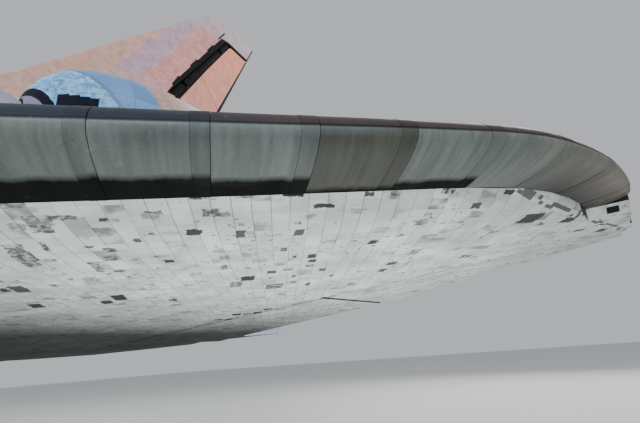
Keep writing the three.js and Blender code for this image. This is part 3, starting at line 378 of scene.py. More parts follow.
# The strip of little tiles starts here, as y0 and x0, and runs this way
STRIP_START, STRIP_OUT, STRIP_AFT = (435.8, 1302.4), 0.335, 0.943
LITTLE_TILE = (2.2, 1.3)  # along the strip and across it
RECESS_AT, RECESS_HALF = (461.5, 1353), (2.2, 1.9)


def tip_of_wing(paint, colour):
    """Small grey and white tiles behind the tip's carbon, and a painted shade for the recess at the tip's
    corner.
    """
    out = paint.y0.size()
    from_start, aft = out - STRIP_START[0], paint.x0 - STRIP_START[1]
    across = from_start * STRIP_AFT - aft * STRIP_OUT
    down = aft * STRIP_AFT + from_start * STRIP_OUT
    small = paint.chance((down / LITTLE_TILE[0]).floor(), (across / LITTLE_TILE[1]).floor())
    checks = paint.blend(small.ramp(0.5, 0.52), tone(84, 90, 95), tone(224, 228, 226))
    strip = across.size().ramp(1.5, 1.3) * down.ramp(2, 3)
    colour = paint.blend(strip * 0.9, colour, checks)
    # Painted shade: a dark box where the recess at the tip's corner lies
    recess = [(scale - at).size().ramp(half, half - 0.3) for scale, at, half in
              zip((out, paint.x0), RECESS_AT, RECESS_HALF)]
    return paint.blend(recess[0] * recess[1], colour, tone(20, 21, 23))


def underside_paint(name, on_wing):
    paint = Paint(name, roughness=0.78)
    behind, along = edge_scales(paint)
    leaning = along - behind * LEAN + FIRST_JOINT
    joints, row, column = paint.grid(behind, leaning, (TILE_BEHIND, TILE_ALONG), 0.12, (0.35, 1.0))
    luck = paint.chance(row, column)
    light = paint.blend(luck, tone(211, 220, 217), tone(237, 242, 239))
    colour = paint.shade(light, paint.noise(19, 5).ramp(0.32, 0.68, 0.72, 1.05))
    # A stain is a soft cloud, strongest on a few tiles of the grid; a chip is small and sharp
    cloud = paint.noise(7.5, 5)
    stained = paint.chance(row, column, 3.0).ramp(0.78, 1.0) * cloud.ramp(0.44, 0.57, 0, 0.66)
    chips = paint.noise(2.2, 4).ramp(0.625, 0.66, 0, 0.9) * paint.noise(31, 2).ramp(0.42, 0.56)
    dark = dark_places(paint, behind, along, stained.most(chips), PATCHES if on_wing else REAR_PATCHES)
    colour = paint.blend(dark, colour, NEW_TILE)
    colour = paint.blend(joints * paint.noise(14, 3).ramp(0.35, 0.6, 0.3, 0.75), colour, JOINT_GREY)
    if on_wing:
        colour = tip_of_wing(paint, colour)
    else:
        hinge = (paint.x0 - HINGE_X0 - 1.2).size().ramp(1.5, 0.9)
        colour = paint.blend(hinge * 0.8, paint.shade(colour, 0.93), tone(40, 44, 48))
    # Painted shade: the tiles are left palest at the middle of the wing, darker towards its tip, and nearly
    # black by the fuselage, which is mostly painted shadow and partly the belly tiles' own darker tone
    out = paint.y0.size()
    pale = out.ramp(165, 232, 0.1, 0.62) + out.ramp(232, 300, 0, 0.45) - out.ramp(395, 450, 0, 0.33)
    colour = paint.shade(colour, pale)
    return paint.finish(colour, (1 - joints) * 0.8 + luck * 0.2, 0.35, 0.002)


belly = underside_paint("underside_tiles", True)
elevon_belly = underside_paint("elevon_underside_tiles", False)
print("shader nodes in the underside", len(belly.node_tree.nodes))

# %% [markdown]
# ## Carbon of the leading edges and nose
# Reinforced carbon takes the greatest heat, so the edge of each wing is a row of grey shells with a narrow
# seal strip between each two. The shader reads two attributes that the shape writes for it: how far along
# the edge and around the nose a point is, and what its panel is like. Streaks run around the nose, and the
# lower rim is burnt dark on some panels. Above the nose line the shell gets painted shade, bluish inboard
# as a painted reflection. Near the wing's tip it is browner, with a painted shadow below and a dark brown
# painted shade above.

# %% Carbon
NOSE_LINE = 0.526  # how far around its section, from 0 below to 1 above, a shell has its line of colour
FIRST_SEAM_ALONG = 620  # the place along the edge that the seam nearest the tip is given
BURNT, OLIVE, PAINTED_REFLECTION_BLUE, BROWNISH = tone(5, 6, 6), tone(78, 80, 73), tone(112, 127, 136), tone(122, 101, 86)


def carbon_paint():
    paint = Paint("carbon_panels", roughness=0.5, coat=0.04)
    along, around, strip = paint.attribute("edge")
    rim, olive, luck = paint.attribute("panel")
    colour = paint.blend(luck, tone(100, 108, 107), tone(114, 123, 121))
    colour = paint.blend(olive, colour, OLIVE)
    streak = paint.noise(1.0, 4, paint.point(along / 1.5, around * 2.2))
    broad = paint.noise(1.0, 3, paint.point(along / 9, around * 1.4, luck * 40))
    colour = paint.shade(colour, streak.ramp(0.25, 0.75, 0.74, 1.16))
    colour = paint.shade(colour, broad.ramp(0.25, 0.75, 0.74, 1.16))
    edge_of_rim = rim + strip * 0.012 + (streak - 0.5) * 0.025 + (broad - 0.5) * 0.05
    burnt = (around - edge_of_rim).ramp(0.024, -0.016) * rim.ramp(0.0, 0.02)
    colour = paint.blend(burnt, colour, BURNT)
    # A bluish painted reflection reaching a little below the nose line on the inboard panels
    colour = paint.blend(around.ramp(0.4, 0.5, 0, 0.4) * along.ramp(600, 580), colour, PAINTED_REFLECTION_BLUE)
    # Round the tip the shells are browner, with a painted shadow darkening them below
    colour = paint.blend(along.ramp(622, 672, 0, 0.4), colour, BROWNISH)
    shadowed = along.ramp(632, 660) * (around + (broad - 0.5) * 0.2).ramp(0.34, 0.04, 0, 0.85)
    colour = paint.blend(shadowed, colour, tone(20, 21, 22))
    # Painted shade above the nose line: dark blue inboard as a painted reflection, dark brown towards the
    # tip, and a dark painted line where that shade begins
    above = around.ramp(NOSE_LINE, NOSE_LINE + 0.004) * around.ramp(0.8, 0.7, 0.35, 1.0)
    upper = paint.blend(along.ramp(535, 562), tone(22, 33, 48), tone(58, 45, 44))
    colour = paint.blend(above * 0.9, colour, upper)
    line = (around - NOSE_LINE).size().ramp(0.018, 0.006)
    colour = paint.blend(line * 0.85, colour, tone(12, 14, 18))
    colour = paint.shade(colour, strip.ramp(0, 1, 1.0, 0.84))
    # Pale clouds, small dark specks and a fine grain over all of it
    colour = paint.blend(paint.noise(5, 5).ramp(0.68, 0.78, 0, 0.16), colour, tone(176, 180, 178))
    specks = paint.noise(1.1, 3).ramp(0.64, 0.72, 0, 0.4) * paint.noise(11, 2).ramp(0.5, 0.6)
    colour = paint.blend(specks, colour, tone(40, 44, 44))
    colour = paint.shade(colour, paint.noise(0.7, 2).ramp(0.3, 0.7, 0.93, 1.06))
    rough = (broad.ramp(0.3, 0.7, 0.42, 0.6) + burnt * 0.4).least(1)
    return paint.finish(colour, streak, 0.1, 0.001, Roughness=rough)


def nose_carbon_paint():
    paint = Paint("carbon_nose", roughness=0.5, coat=0.1)
    colour = paint.blend(paint.noise(9, 5).ramp(0.3, 0.7), tone(112, 118, 116), tone(136, 142, 140))
    ring = (paint.x0 - 259.5).size().ramp(0.5, 0.2)
    colour = paint.blend(ring * 0.8, colour, tone(30, 32, 34))
    return paint.finish(colour, paint.noise(0.8, 3), 0.08, 0.001)


carbon = carbon_paint()
nose_carbon = nose_carbon_paint()
print("carbon", carbon.name, nose_carbon.name)

# %% [markdown]
# ## Skins of the fuselage, wings' upper side, doors and pods
# The cooler skin is white: square tiles on the nose and quilted blankets farther aft, each blanket a cloth
# pillow of about two and a half feet. Around the fuselage the grid runs by the angle about its middle, so
# that the joints follow the skin round. A black belly edge, stepped tile by tile, and a black surround
# of the windows are chosen by place, as they are on the craft.

# %% White tiles and blankets
BODY_Z0, BODY_RADIUS = 395, 100  # the middle of the fuselage's round part and its size


def around_body(paint):
    """Inches around the fuselage from its port side."""
    angle = paint.node("ShaderNodeMath", {"operation": "ARCTAN2"}, [paint.z0 - BODY_Z0, paint.y0])
    return angle * BODY_RADIUS


def blanket(paint, u, v, pitch, low, high):
    joints, row, column = paint.grid(u, v, pitch, 0.35)
    luck = paint.chance(row, column)
    colour = paint.blend(luck, low, high)
    colour = paint.shade(colour, paint.noise(26, 5).ramp(0.3, 0.75, 0.84, 1.04))
    colour = paint.blend(joints * 0.5, colour, paint.shade(low, 0.42))
    stitch, *_ = paint.grid(u, v, (1.0, 1.0), 0.1)
    return colour, (1 - joints) + (1 - stitch) * 0.15 + paint.noise(5, 2) * 0.4


def tile_grid(paint, u, v, low, high, joint_tone, share=0.5):
    joints, row, column = paint.grid(u, v, (6.0, 6.0), 0.14)
    luck = paint.chance(row, column)
    colour = paint.blend(luck, low, high)
    return paint.blend(joints * share, colour, joint_tone), joints, luck


WHITE_LOW, WHITE_HIGH = tone(205, 207, 206), tone(226, 227, 225)
BLACK_LOW, BLACK_HIGH = tone(33, 35, 38), tone(55, 58, 61)
print("blankets and tiles go round a body of radius", BODY_RADIUS, "about z0", BODY_Z0)

# %% [markdown]
# ## The fuselage's own marks
# Where the black tiles end, they end in whole tiles, so the place is rounded down to a step of six inches
# before it is compared with the line that they follow. Each mark is a product of ramps: a ramp is a soft
# test for being past a line, and a product is true only where every test is.

# %% Fuselage skin
BLANKETS_FROM = 470  # x0 where the nose's tiles give way to blankets
TILE_STEP = 6


def belly_edge(paint):
    """The black below the chin and along the belly's edge, stepped tile by tile."""
    step_x = (paint.x0 / TILE_STEP).floor() * TILE_STEP
    step_z = (paint.z0 / TILE_STEP).floor() * TILE_STEP
    chin = (step_x.ramp(250, 330, 350, 322) - step_z) + step_x.ramp(330, 480, 0, -22)
    return (chin + step_x.ramp(1307, 1521, 0, 26)).ramp(0, 0.5)


def window_surround(paint):
    """Black between two sloping lines on the cockpit's face."""
    face = (paint.x0 - 436).ramp(0, 1) * (475 + paint.y0.size() * 0.34 - paint.x0).ramp(0, 0.4)
    return face * (paint.z0 - 419).ramp(0, 0.4) * (466 - paint.z0).ramp(0, 0.4)


def vent_lines(paint):
    """Outlines of the vent doors and access panels along the side, one every ten feet."""
    off_middle = ((paint.x0 - 640) / 120).fract() * 120 - 60
    outline = (off_middle.size() - 12).most((paint.z0 - 388).size() - 7)
    return outline.size().ramp(0.5, 0.2) * paint.x0.ramp(600, 602) * (1500 - paint.x0).ramp(0, 1)


def fuselage_paint():
    paint = Paint("fuselage_skin", roughness=0.8)
    around = around_body(paint)
    # Width less height grows evenly from the nose's top down its side, whatever its section
    down_nose = paint.y0.size() - paint.z0
    tiles, joints, _ = tile_grid(paint, paint.x0, down_nose, WHITE_LOW, WHITE_HIGH, tone(120, 122, 124))
    quilt, puff = blanket(paint, paint.x0, around, (30.0, 28.0), WHITE_LOW, WHITE_HIGH)
    aft = paint.x0.ramp(BLANKETS_FROM - 0.1, BLANKETS_FROM + 0.1)
    colour = paint.blend(aft, tiles, quilt)
    outwards = paint.y0.size() + paint.x0
    black, *_ = tile_grid(paint, paint.z0, outwards, BLACK_LOW, BLACK_HIGH, tone(92, 94, 96), 0.4)
    colour = paint.blend(belly_edge(paint).most(window_surround(paint)), colour, black)
    streaks = paint.noise(1.0, 4, paint.point(paint.x0 / 60, around / 7)).ramp(0.45, 0.75, 0, 0.28)
    colour = paint.blend(streaks, colour, tone(126, 120, 112))
    colour = paint.blend(vent_lines(paint) * 0.8, colour, tone(40, 42, 46))
    return paint.finish(colour, (1 - joints) * (1 - aft) + puff * aft * 0.5, 0.3, 0.004)


def quilt_paint(name, u_of, v_of, pitch, low, high):
    paint = Paint(name, roughness=0.85)
    colour, puff = blanket(paint, u_of(paint), v_of(paint), pitch, low, high)
    dirt = paint.noise(1.0, 4, paint.point(paint.x0 / 46, paint.y0 / 6)).ramp(0.5, 0.8, 0, 0.3)
    return paint.finish(paint.blend(dirt, colour, tone(116, 114, 110)), puff, 0.35, 0.006)


def black_paint():
    paint = Paint("black_tiles", roughness=0.62)
    u, v, _ = paint.attribute("box")
    colour, joints, luck = tile_grid(paint, u, v, BLACK_LOW, BLACK_HIGH, tone(98, 100, 102), 0.4)
    colour = paint.blend(paint.noise(9, 5).ramp(0.58, 0.74, 0, 0.22), colour, tone(108, 110, 110))
    return paint.finish(colour, (1 - joints) + luck * 0.3, 0.3, 0.002)


def x_of(paint):
    return paint.x0


def y_of(paint):
    return paint.y0


# Painted shade and coloured light: the doors' blankets are white on the craft, and are given a darker lilac
# grey
LILAC_LOW, LILAC_HIGH = tone(158, 164, 182), tone(177, 182, 197)
fuselage_skin = fuselage_paint()
wing_top = quilt_paint("wing_top_blankets", x_of, y_of, (28.0, 24.0), WHITE_LOW, WHITE_HIGH)
door_skin = quilt_paint("door_blankets", x_of, around_body, (45.5, 27.0), LILAC_LOW, LILAC_HIGH)
black_tiles = black_paint()
print("skins", fuselage_skin.name, wing_top.name, door_skin.name, black_tiles.name)

# %% [markdown]
# ## Fin tiles
# The fin's tiles are salmon pink, lavender and rose, in bands that lean with the hinge line, and
# they carry small dark marks. The cap is greyer, and the rudder is warmer towards its top. A wide soft
# noise bends the bands, one cell value a tile varies their tones, and the marks are small blots that only
# some tiles carry. The black tiles by the hinge seal are laid last, over all of it.

# %% Fin and rudder tiles
FIN_SLOPE = 0.69  # the tiles' rows lean this far aft for each inch up, close to the hinge line's own lean
HINGE_ROOT, HINGE_LEAN = (1489.8, 573), 0.6957  # x0 and z0 where the rudder's hinge line starts
SALMON, SALMON_PALE = tone(204, 164, 150), tone(216, 176, 162)
LAVENDER, LAVENDER_PALE = tone(184, 156, 178), tone(200, 172, 188)
ROSE, ROSE_PALE = tone(206, 146, 152), tone(228, 164, 154)
FIN_BLACK = tone(11, 11, 12)
RUDDER_TOP, FIN_TOP = 777, 793


def fin_tones(paint, across, luck):
    """Bands that lean with the hinge line: warm ahead, lavender in the middle, rose behind."""
    ragged = across + (paint.noise(17, 2) - 0.5) * 26
    colour = paint.blend(luck, SALMON, SALMON_PALE)
    lavender = paint.blend(luck, LAVENDER, LAVENDER_PALE)
    colour = paint.blend(ragged.ramp(1004, 1010) * paint.z0.ramp(596, 624), colour, lavender)
    rose = paint.blend(luck, ROSE, ROSE_PALE)
    colour = paint.blend(ragged.ramp(1034, 1040) * paint.z0.ramp(600, 630), colour, rose)
    colour = paint.blend(paint.z0.ramp(771, 776) * 0.75, colour, tone(186, 182, 190))
    spot = paint.vector("DISTANCE", paint.point(paint.x0, paint.z0), (1597.0, 791.0, 0.0), output=1)
    return paint.blend(spot.ramp(7, 4, 0, 0.7), colour, tone(196, 160, 118))


def fin_black_tiles(paint, up_hinge, aft):
    """Black tiles ahead of the hinge seal in small steps, and over the rudder's top with one prong up."""
    step = (up_hinge / 74).fract().ramp(0.6, 0.62) * 2.4
    ahead = (aft + step + paint.z0.ramp(612, 650, 12.5, 17.5)).ramp(0, 0.3)
    band = ahead * (paint.z0.ramp(609, 690, 10.5, 7) - aft).ramp(0, 0.3) * (paint.z0 - 611).ramp(0, 0.3)
    over_top = ahead * (paint.z0 - 771).ramp(0, 0.3)
    band = band.most(over_top) * (RUDDER_TOP + 0.3 - paint.z0).ramp(0, 0.3)
    prong = (aft + 20.5).size().ramp(1.7, 1.4) * (FIN_TOP - paint.z0).ramp(0, 0.3)
    return band.most(prong * (paint.z0 - 770).ramp(0, 0.3))


def fin_paint():
    paint = Paint("fin_tiles", roughness=0.75)
    up_hinge = paint.z0 + paint.x0 * FIN_SLOPE
    across = paint.x0 - paint.z0 * FIN_SLOPE
    joints, row, column = paint.grid(across, up_hinge, (7.0, 7.0), 0.16)
    luck = paint.chance(row, column)
    colour = fin_tones(paint, across, luck)
    aft = paint.x0 - (HINGE_ROOT[0] + (paint.z0 - HINGE_ROOT[1]) * HINGE_LEAN)
    on_rudder = aft.ramp(0, 5) * (RUDDER_TOP - paint.z0).ramp(0, 1)
    colour = paint.blend(on_rudder * paint.z0.ramp(640, 760, 0.45, 0.9), colour, tone(240, 158, 128))
    colour = paint.shade(colour, paint.noise(13, 5).ramp(0.3, 0.7, 0.86, 1.06))
    marks = paint.noise(1.5, 2).ramp(0.68, 0.72, 0, 0.75) * paint.chance(row, column, 5.0).ramp(0.7, 0.74)
    colour = paint.blend(marks, colour, tone(60, 50, 54))
    colour = paint.blend(joints * 0.3, colour, tone(128, 110, 112))
    # The line between the rudder's lower and upper half
    split = (paint.z0 - 674.2 + (paint.x0 - 1567.5) * 0.9).size().ramp(0.7, 0.4) * aft.ramp(9, 10)
    colour = paint.blend(split * 0.8, colour, tone(40, 34, 36))
    colour = paint.blend(fin_black_tiles(paint, up_hinge, aft), colour, FIN_BLACK)
    # The rear edge is of black tiles, and the strip grows wider towards the root
    rear = paint.x0 - 1546.3 - (paint.z0 - 500) * 0.504
    colour = paint.blend((rear + paint.z0.ramp(620, 760, 6.5, 3.2)).ramp(0, 0.4), colour, tone(14, 14, 16))
    return paint.finish(colour, (1 - joints), 0.25, 0.002)


def seal_paint():
    paint = Paint("hinge_seal", roughness=0.9)
    colour = paint.blend(paint.noise(6, 5).ramp(0.35, 0.65), tone(11, 11, 12), tone(26, 25, 27))
    rings = ((paint.z0 / 5).fract() - 0.5).size().ramp(0.46, 0.49)
    return paint.finish(paint.blend(rings * 0.25, colour, tone(60, 58, 62)), 1 - rings, 0.3, 0.003)


fin_tiles = fin_paint()
seal_black = seal_paint()
print("fin", fin_tiles.name, seal_black.name)

# %% [markdown]
# ## Pod skins
# The front dome of an orbital engine pod is tiled and mottled in pale and deeper blue, with a painted
# shadow as a dark crescent where it meets the door, and four stepped black tiles low on its side. Behind a
# leaning double seam the pod is covered with smooth blankets: blue ones first, then a short warm grey
# stretch, then white ones.

# %% Pod paint
POD_BLUE, POD_BLUE_PALE = tone(106, 148, 202), tone(126, 166, 218)
DOME_BLUE, DOME_PALE = tone(78, 144, 206), tone(124, 186, 236)
POD_BLANKET = (32.0, 26.0)  # along the pod and up its side
BLACKS_FROM, BLACK_LENGTH = 1321, 6.5  # x0 of the first black tile low on the side, and its length


def dome_tiles(paint, luck, joints):
    dome = paint.blend(luck, DOME_BLUE, DOME_PALE)
    dome = paint.blend(paint.noise(5, 5).ramp(0.42, 0.6, 0, 0.6), dome, tone(176, 220, 252))
    dome = paint.blend(paint.noise(3.4, 4).ramp(0.6, 0.68, 0, 0.55), dome, tone(54, 84, 124))
    return paint.blend(joints * 0.4, dome, tone(84, 98, 120))


def pod_rear(paint, side):
    """Warm grey where the blue blankets end, and white blankets behind it."""
    pale, _ = blanket(paint, paint.x0, side, POD_BLANKET, WHITE_LOW, WHITE_HIGH)
    warm = paint.blend(paint.noise(4, 5).ramp(0.35, 0.6), tone(200, 166, 154), tone(168, 142, 138))
    return paint.blend(paint.x0.ramp(1416, 1450), warm, pale)


def pod_paint():
    paint = Paint("pod_skin", roughness=0.72)
    side = paint.z0 - paint.y0.size() * 0.35
    joints, row, column = paint.grid(paint.x0, side, (6.0, 6.0), 0.16)
    luck = paint.chance(row, column)
    dome = dome_tiles(paint, luck, joints)
    quilt, puff = blanket(paint, paint.x0, side, POD_BLANKET, POD_BLUE, POD_BLUE_PALE)
    # The seam leans back from the root, and a second seam follows three inches behind it
    seam_line = paint.x0 + (paint.z0 - 480) * 0.79 - 1357
    aft = seam_line.ramp(-0.2, 0.2)
    colour = paint.blend(aft, dome, quilt)
    double = seam_line.size().ramp(0.7, 0.4).most((seam_line - 3).size().ramp(0.7, 0.4))
    colour = paint.blend(double * 0.7, colour, tone(60, 72, 92))
    rear = pod_rear(paint, side)
    past_blue = paint.x0 + paint.z0 * 0.3 - 1547 + (paint.noise(3, 3) - 0.5) * 6
    colour = paint.blend(past_blue.ramp(-2, 2), colour, rear)
    # A blue-black for the real black tiles and for the painted shadow of the crescent
    black = paint.blend(luck, tone(5, 10, 22), tone(12, 22, 42))
    # Four black tiles low on the side, each with its top a little higher aft
    from_first = paint.x0 - BLACKS_FROM
    step = (from_first / BLACK_LENGTH).fract()
    low = (474.4 + step * 1.5 - paint.z0).ramp(0, 0.3) * from_first.ramp(0, 0.3)
    low = low * (BLACKS_FROM + 4 * BLACK_LENGTH - paint.x0).ramp(0, 0.3)
    colour = paint.blend(low, colour, black)
    # A painted shadow: the dark crescent beside the door, where the pod's front rises from the fuselage, and
    # the pale lilac skin inside it
    ahead = paint.x0 + paint.z0 * 0.45 + (paint.noise(4, 2) - 0.5) * 1.2
    colour = paint.blend((1530 - ahead).ramp(0, 0.5), colour, black)
    lilac = paint.blend(luck, tone(128, 126, 160), tone(148, 144, 174))
    colour = paint.blend((1524.5 - ahead).ramp(0, 0.5), colour, lilac)
    return paint.finish(colour, (1 - joints) * (1 - aft) + puff * aft * 0.6, 0.3, 0.004)


pod_skin = pod_paint()
print("pod", pod_skin.name, "black tiles end at x0", BLACKS_FROM + 4 * BLACK_LENGTH)

# %% [markdown]
# ## Metals, rubber, glass and linings
# The rest of the craft is bare or painted metal and a few dark fittings. Each one still gets its own wear:
# heat colours along the bells, smears on the gear, dust on the tyres, tubes under the radiators' skin.

# %% Other materials
def worn(name, low, high, size, roughness, metallic=0.0, coat=0.0, bump=0.1):
    paint = Paint(name, roughness=roughness, metallic=metallic, coat=coat)
    cloud = paint.noise(size, 5)
    colour = paint.blend(cloud.ramp(0.32, 0.68), low, high)
    rough = cloud.ramp(0.3, 0.7, roughness * 0.85, min(1.0, roughness * 1.15))
    return paint.finish(colour, paint.noise(size / 6, 3), bump, 0.001, Roughness=rough)


def bell_paint():
    """The outside of a bell: tubes run down it, and heat has coloured its rim."""
    paint = Paint("engine_bell", roughness=0.42, metallic=0.75)
    colour = paint.blend(paint.noise(16, 5).ramp(0.3, 0.7), tone(86, 78, 72), tone(132, 122, 110))
    colour = paint.blend(paint.x0.ramp(1560, 1620) * 0.6, colour, tone(70, 62, 66))
    ribs = paint.noise(1.0, 2, paint.point(paint.y0 * 1.6, paint.z0 * 1.6, paint.x0 / 60))
    return paint.finish(paint.shade(colour, ribs.ramp(0.35, 0.65, 0.85, 1.1)), ribs, 0.3, 0.004)


def radiator_paint():
    paint = Paint("radiators", roughness=0.28, metallic=0.75)
    around = around_body(paint)
    tubes = ((around / 5).fract() - 0.5).size().ramp(0.1, 0.4)
    seams, *_ = paint.grid(paint.x0 - 583, around, (181.0, 300.0), 0.5)
    colour = paint.blend(tubes * 0.35, tone(196, 202, 210), tone(148, 156, 168))
    return paint.finish(paint.blend(seams * 0.8, colour, tone(50, 52, 58)), tubes, 0.2, 0.004)


def liner_paint():
    paint = Paint("bay_liner", roughness=0.85)
    low, high = tone(196, 194, 182), tone(214, 212, 202)
    colour, puff = blanket(paint, paint.x0, around_body(paint), (45.0, 32.0), low, high)
    return paint.finish(colour, puff, 0.5, 0.008)


def tyre_paint():
    paint = Paint("tyre_rubber", roughness=0.85)
    colour = paint.blend(paint.noise(7, 5).ramp(0.35, 0.7), tone(26, 26, 27), tone(52, 51, 50))
    colour = paint.blend(paint.z0.ramp(142, 136.5) * 0.4, colour, tone(110, 106, 98))
    return paint.finish(colour, paint.noise(0.5, 2), 0.25, 0.001)


def glass_paint():
    paint = Paint("window_glass", roughness=0.06, coat=1.0, specular=0.5)
    colour = paint.blend(paint.noise(14, 3).ramp(0.3, 0.7), tone(14, 18, 26), tone(30, 36, 46))
    wiped = paint.noise(3, 4).ramp(0.3, 0.8, 0.03, 0.16)
    return paint.finish(colour, paint.noise(20, 2), 0.02, 0.001, Roughness=wiped)


bell_metal = bell_paint()
bell_inside = worn("bell_inside", tone(22, 21, 22), tone(46, 42, 40), 9, 0.6, 0.4)
radiator = radiator_paint()
bay_liner = liner_paint()
rubber = tyre_paint()
glass = glass_paint()
gear_paint = worn("gear_paint", tone(196, 199, 198), tone(216, 218, 216), 6, 0.45, 0.1, 0.2)
bright_steel = worn("bright_steel", tone(188, 192, 196), tone(224, 226, 228), 4, 0.2, 0.95)
wheel_metal = worn("wheel_metal", tone(150, 153, 156), tone(186, 188, 190), 3, 0.38, 0.8)
dark_metal = worn("dark_metal", tone(38, 38, 40), tone(70, 69, 68), 3, 0.5, 0.6)
primer = worn("door_inner_skin", tone(150, 158, 138), tone(178, 184, 164), 12, 0.6)
cabin_grey = worn("cabin_grey", tone(92, 98, 104), tone(124, 130, 136), 8, 0.7)
foil = worn("engine_blanket", tone(168, 164, 156), tone(206, 202, 194), 3, 0.5, 0.3, bump=0.5)
flap_end = worn("flap_end", tone(178, 172, 196), tone(202, 196, 214), 5, 0.7)
print("materials", len(bpy.data.materials))

# %% [markdown]
# ## From a mesh to a piece of the craft
# Every mesh gets the same care before it joins the craft: doubles are merged first, then the normals are
# made to look outwards, and edges sharper than a limit stay sharp while the rest is smooth. A piece then
# rides on its body, and the imported nodes that it stands for are hidden.

# %% Pieces
def tidy_mesh(mesh, sharp, pick=None):
    work = bmesh.new()
    work.from_mesh(mesh)
    bmesh.ops.remove_doubles(work, verts=work.verts, dist=2e-5)
    bmesh.ops.dissolve_degenerate(work, edges=work.edges, dist=1e-6)
    bmesh.ops.recalc_face_normals(work, faces=work.faces)
    for face in work.faces:
        face.smooth = True
        if pick:
            face.material_index = pick(scales(face.calc_center_median()), face.normal)
    for edge in work.edges:
        edge.smooth = edge.is_manifold and edge.calc_face_angle(0) < math.radians(sharp)
    work.to_mesh(mesh)
    work.free()
    box_note(mesh)


def box_note(mesh):
    """Each face's own flat scales in inches, for tiles that keep their size on faces of any direction."""
    note = mesh.attributes.new("box", "FLOAT_VECTOR", "CORNER")
    places = [scales(vertex.co) for vertex in mesh.vertices]
    values = np.zeros((len(mesh.loops), 3), np.float32)
    for face in mesh.polygons:
        lead = max(range(3), key=lambda axis: abs(face.normal[axis]))
        for corner in face.loop_indices:
            y0, x0, z0 = places[mesh.loops[corner].vertex_index]
            values[corner] = ((x0, z0, 0), (y0, z0, 0), (x0, y0, 0))[lead]
    note.data.foreach_set("vector", values.ravel())


def add_piece(name, mesh, body, materials, replaces=(), slot=None):
    for material in materials:
        mesh.materials.append(material)
    made = bpy.data.objects.new(name, mesh)
    bpy.context.scene.collection.objects.link(made)
    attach(made, body)
    if replaces:
        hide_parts(*replaces)
    slot or SLOT_OF[replaces[0]]
    return made


def dress(node, materials, pick=None, sharp=30):
    """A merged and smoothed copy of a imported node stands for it."""
    mesh = nodes[node].data.copy()
    mesh.materials.clear()
    tidy_mesh(mesh, sharp, pick)
    return add_piece(f"{node}_skin", mesh, nodes[node]["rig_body"], materials, [node])


print("nodes that a piece can stand for", len(SLOT_OF))

# %% [markdown]
# ## Gathering closed bodies
# A skin through rings, a turned body and a rod make nearly every real part of the craft. They are gathered
# as plain points and faces, and all that belong to one piece become one mesh at the end. The port side's
# shape is made once, and its mirror image serves the other side.

# %% Shapes
SHARP = 32  # degrees at which an edge of a made piece stays sharp
ROD_BEVEL = 0.12


class Shape:
    """Closed bodies, kept as points and faces until they become one piece."""

    def __init__(self):
        self.points, self.faces, self.kinds, self.notes = [], [], [], {}

    def loft(self, rings, kind=0, loop=False, end_kind=None):
        """A skin through rings of points; kind is its material, or a list with one for each band."""
        first, count = len(self.points), len(rings[0])
        bands = len(rings) if loop else len(rings) - 1
        kinds = kind if isinstance(kind, list) else [kind] * bands
        self.points += [p for ring in rings for p in ring]
        for band in range(bands):
            low, high = first + band * count, first + (band + 1) % len(rings) * count
            for k in range(count):
                after = (k + 1) % count
                self.faces.append([low + k, low + after, high + after, high + k])
                self.kinds.append(kinds[band])
        if not loop:
            total = len(self.points)
            self.faces += [list(range(first, first + count)), list(range(total - count, total))]
            self.kinds += [kinds[0], kinds[-1]] if end_kind is None else [end_kind] * 2

    def turned(self, profile, start, towards, kind=0, sides=64, loop=False):
        """Profile points are inches from the axis and along it."""
        origin = place(*start)
        along = (place(*towards) - origin).normalized()
        side = along.orthogonal().normalized()
        other = along.cross(side)
        angles = [2 * math.pi * k / sides for k in range(sides)]
        spokes = [side * math.cos(a) + other * math.sin(a) for a in angles]
        rings = [[origin + along * (s * INCH) + spoke * (r * INCH) for spoke in spokes] for r, s in profile]
        self.loft(rings, kind, loop)

    def rod(self, start, end, radius, kind=0, sides=24):
        length, inner = math.dist(start, end), radius - ROD_BEVEL
        profile = [(inner, 0), (radius, ROD_BEVEL), (radius, length - ROD_BEVEL), (inner, length)]
        self.turned(profile, start, end, kind, sides)

    def note(self, name, values):
        self.notes.setdefault(name, []).extend(values)

    def mirrored(self):
        other = Shape()
        other.points = [Vector((-p.x, p.y, p.z)) for p in self.points]
        other.faces, other.kinds, other.notes = self.faces, self.kinds, self.notes
        return other

    def piece(self, name, body, materials, replaces=(), slot=None):
        mesh = bpy.data.meshes.new(name)
        mesh.from_pydata([tuple(p) for p in self.points], [], self.faces)
        mesh.polygons.foreach_set("material_index", self.kinds)
        for note, values in self.notes.items():
            attribute = mesh.attributes.new(note, "FLOAT_VECTOR", "POINT")
            attribute.data.foreach_set("vector", np.array(values, np.float32).ravel())
        tidy_mesh(mesh, SHARP)
        return add_piece(name, mesh, body, materials, replaces, slot)


print("a shape can", methods(Shape))

# %% [markdown]
# ## Plans for what repeats
# Bolt heads, hoops and pipes repeat a small shape, so a Geometry Nodes tree makes them: it is told once what
# a bolt is and then only where bolts are. Each plan has named sizes. It ends by realizing its instances and
# setting their material, and the result is kept as a plain mesh that rides on one body.

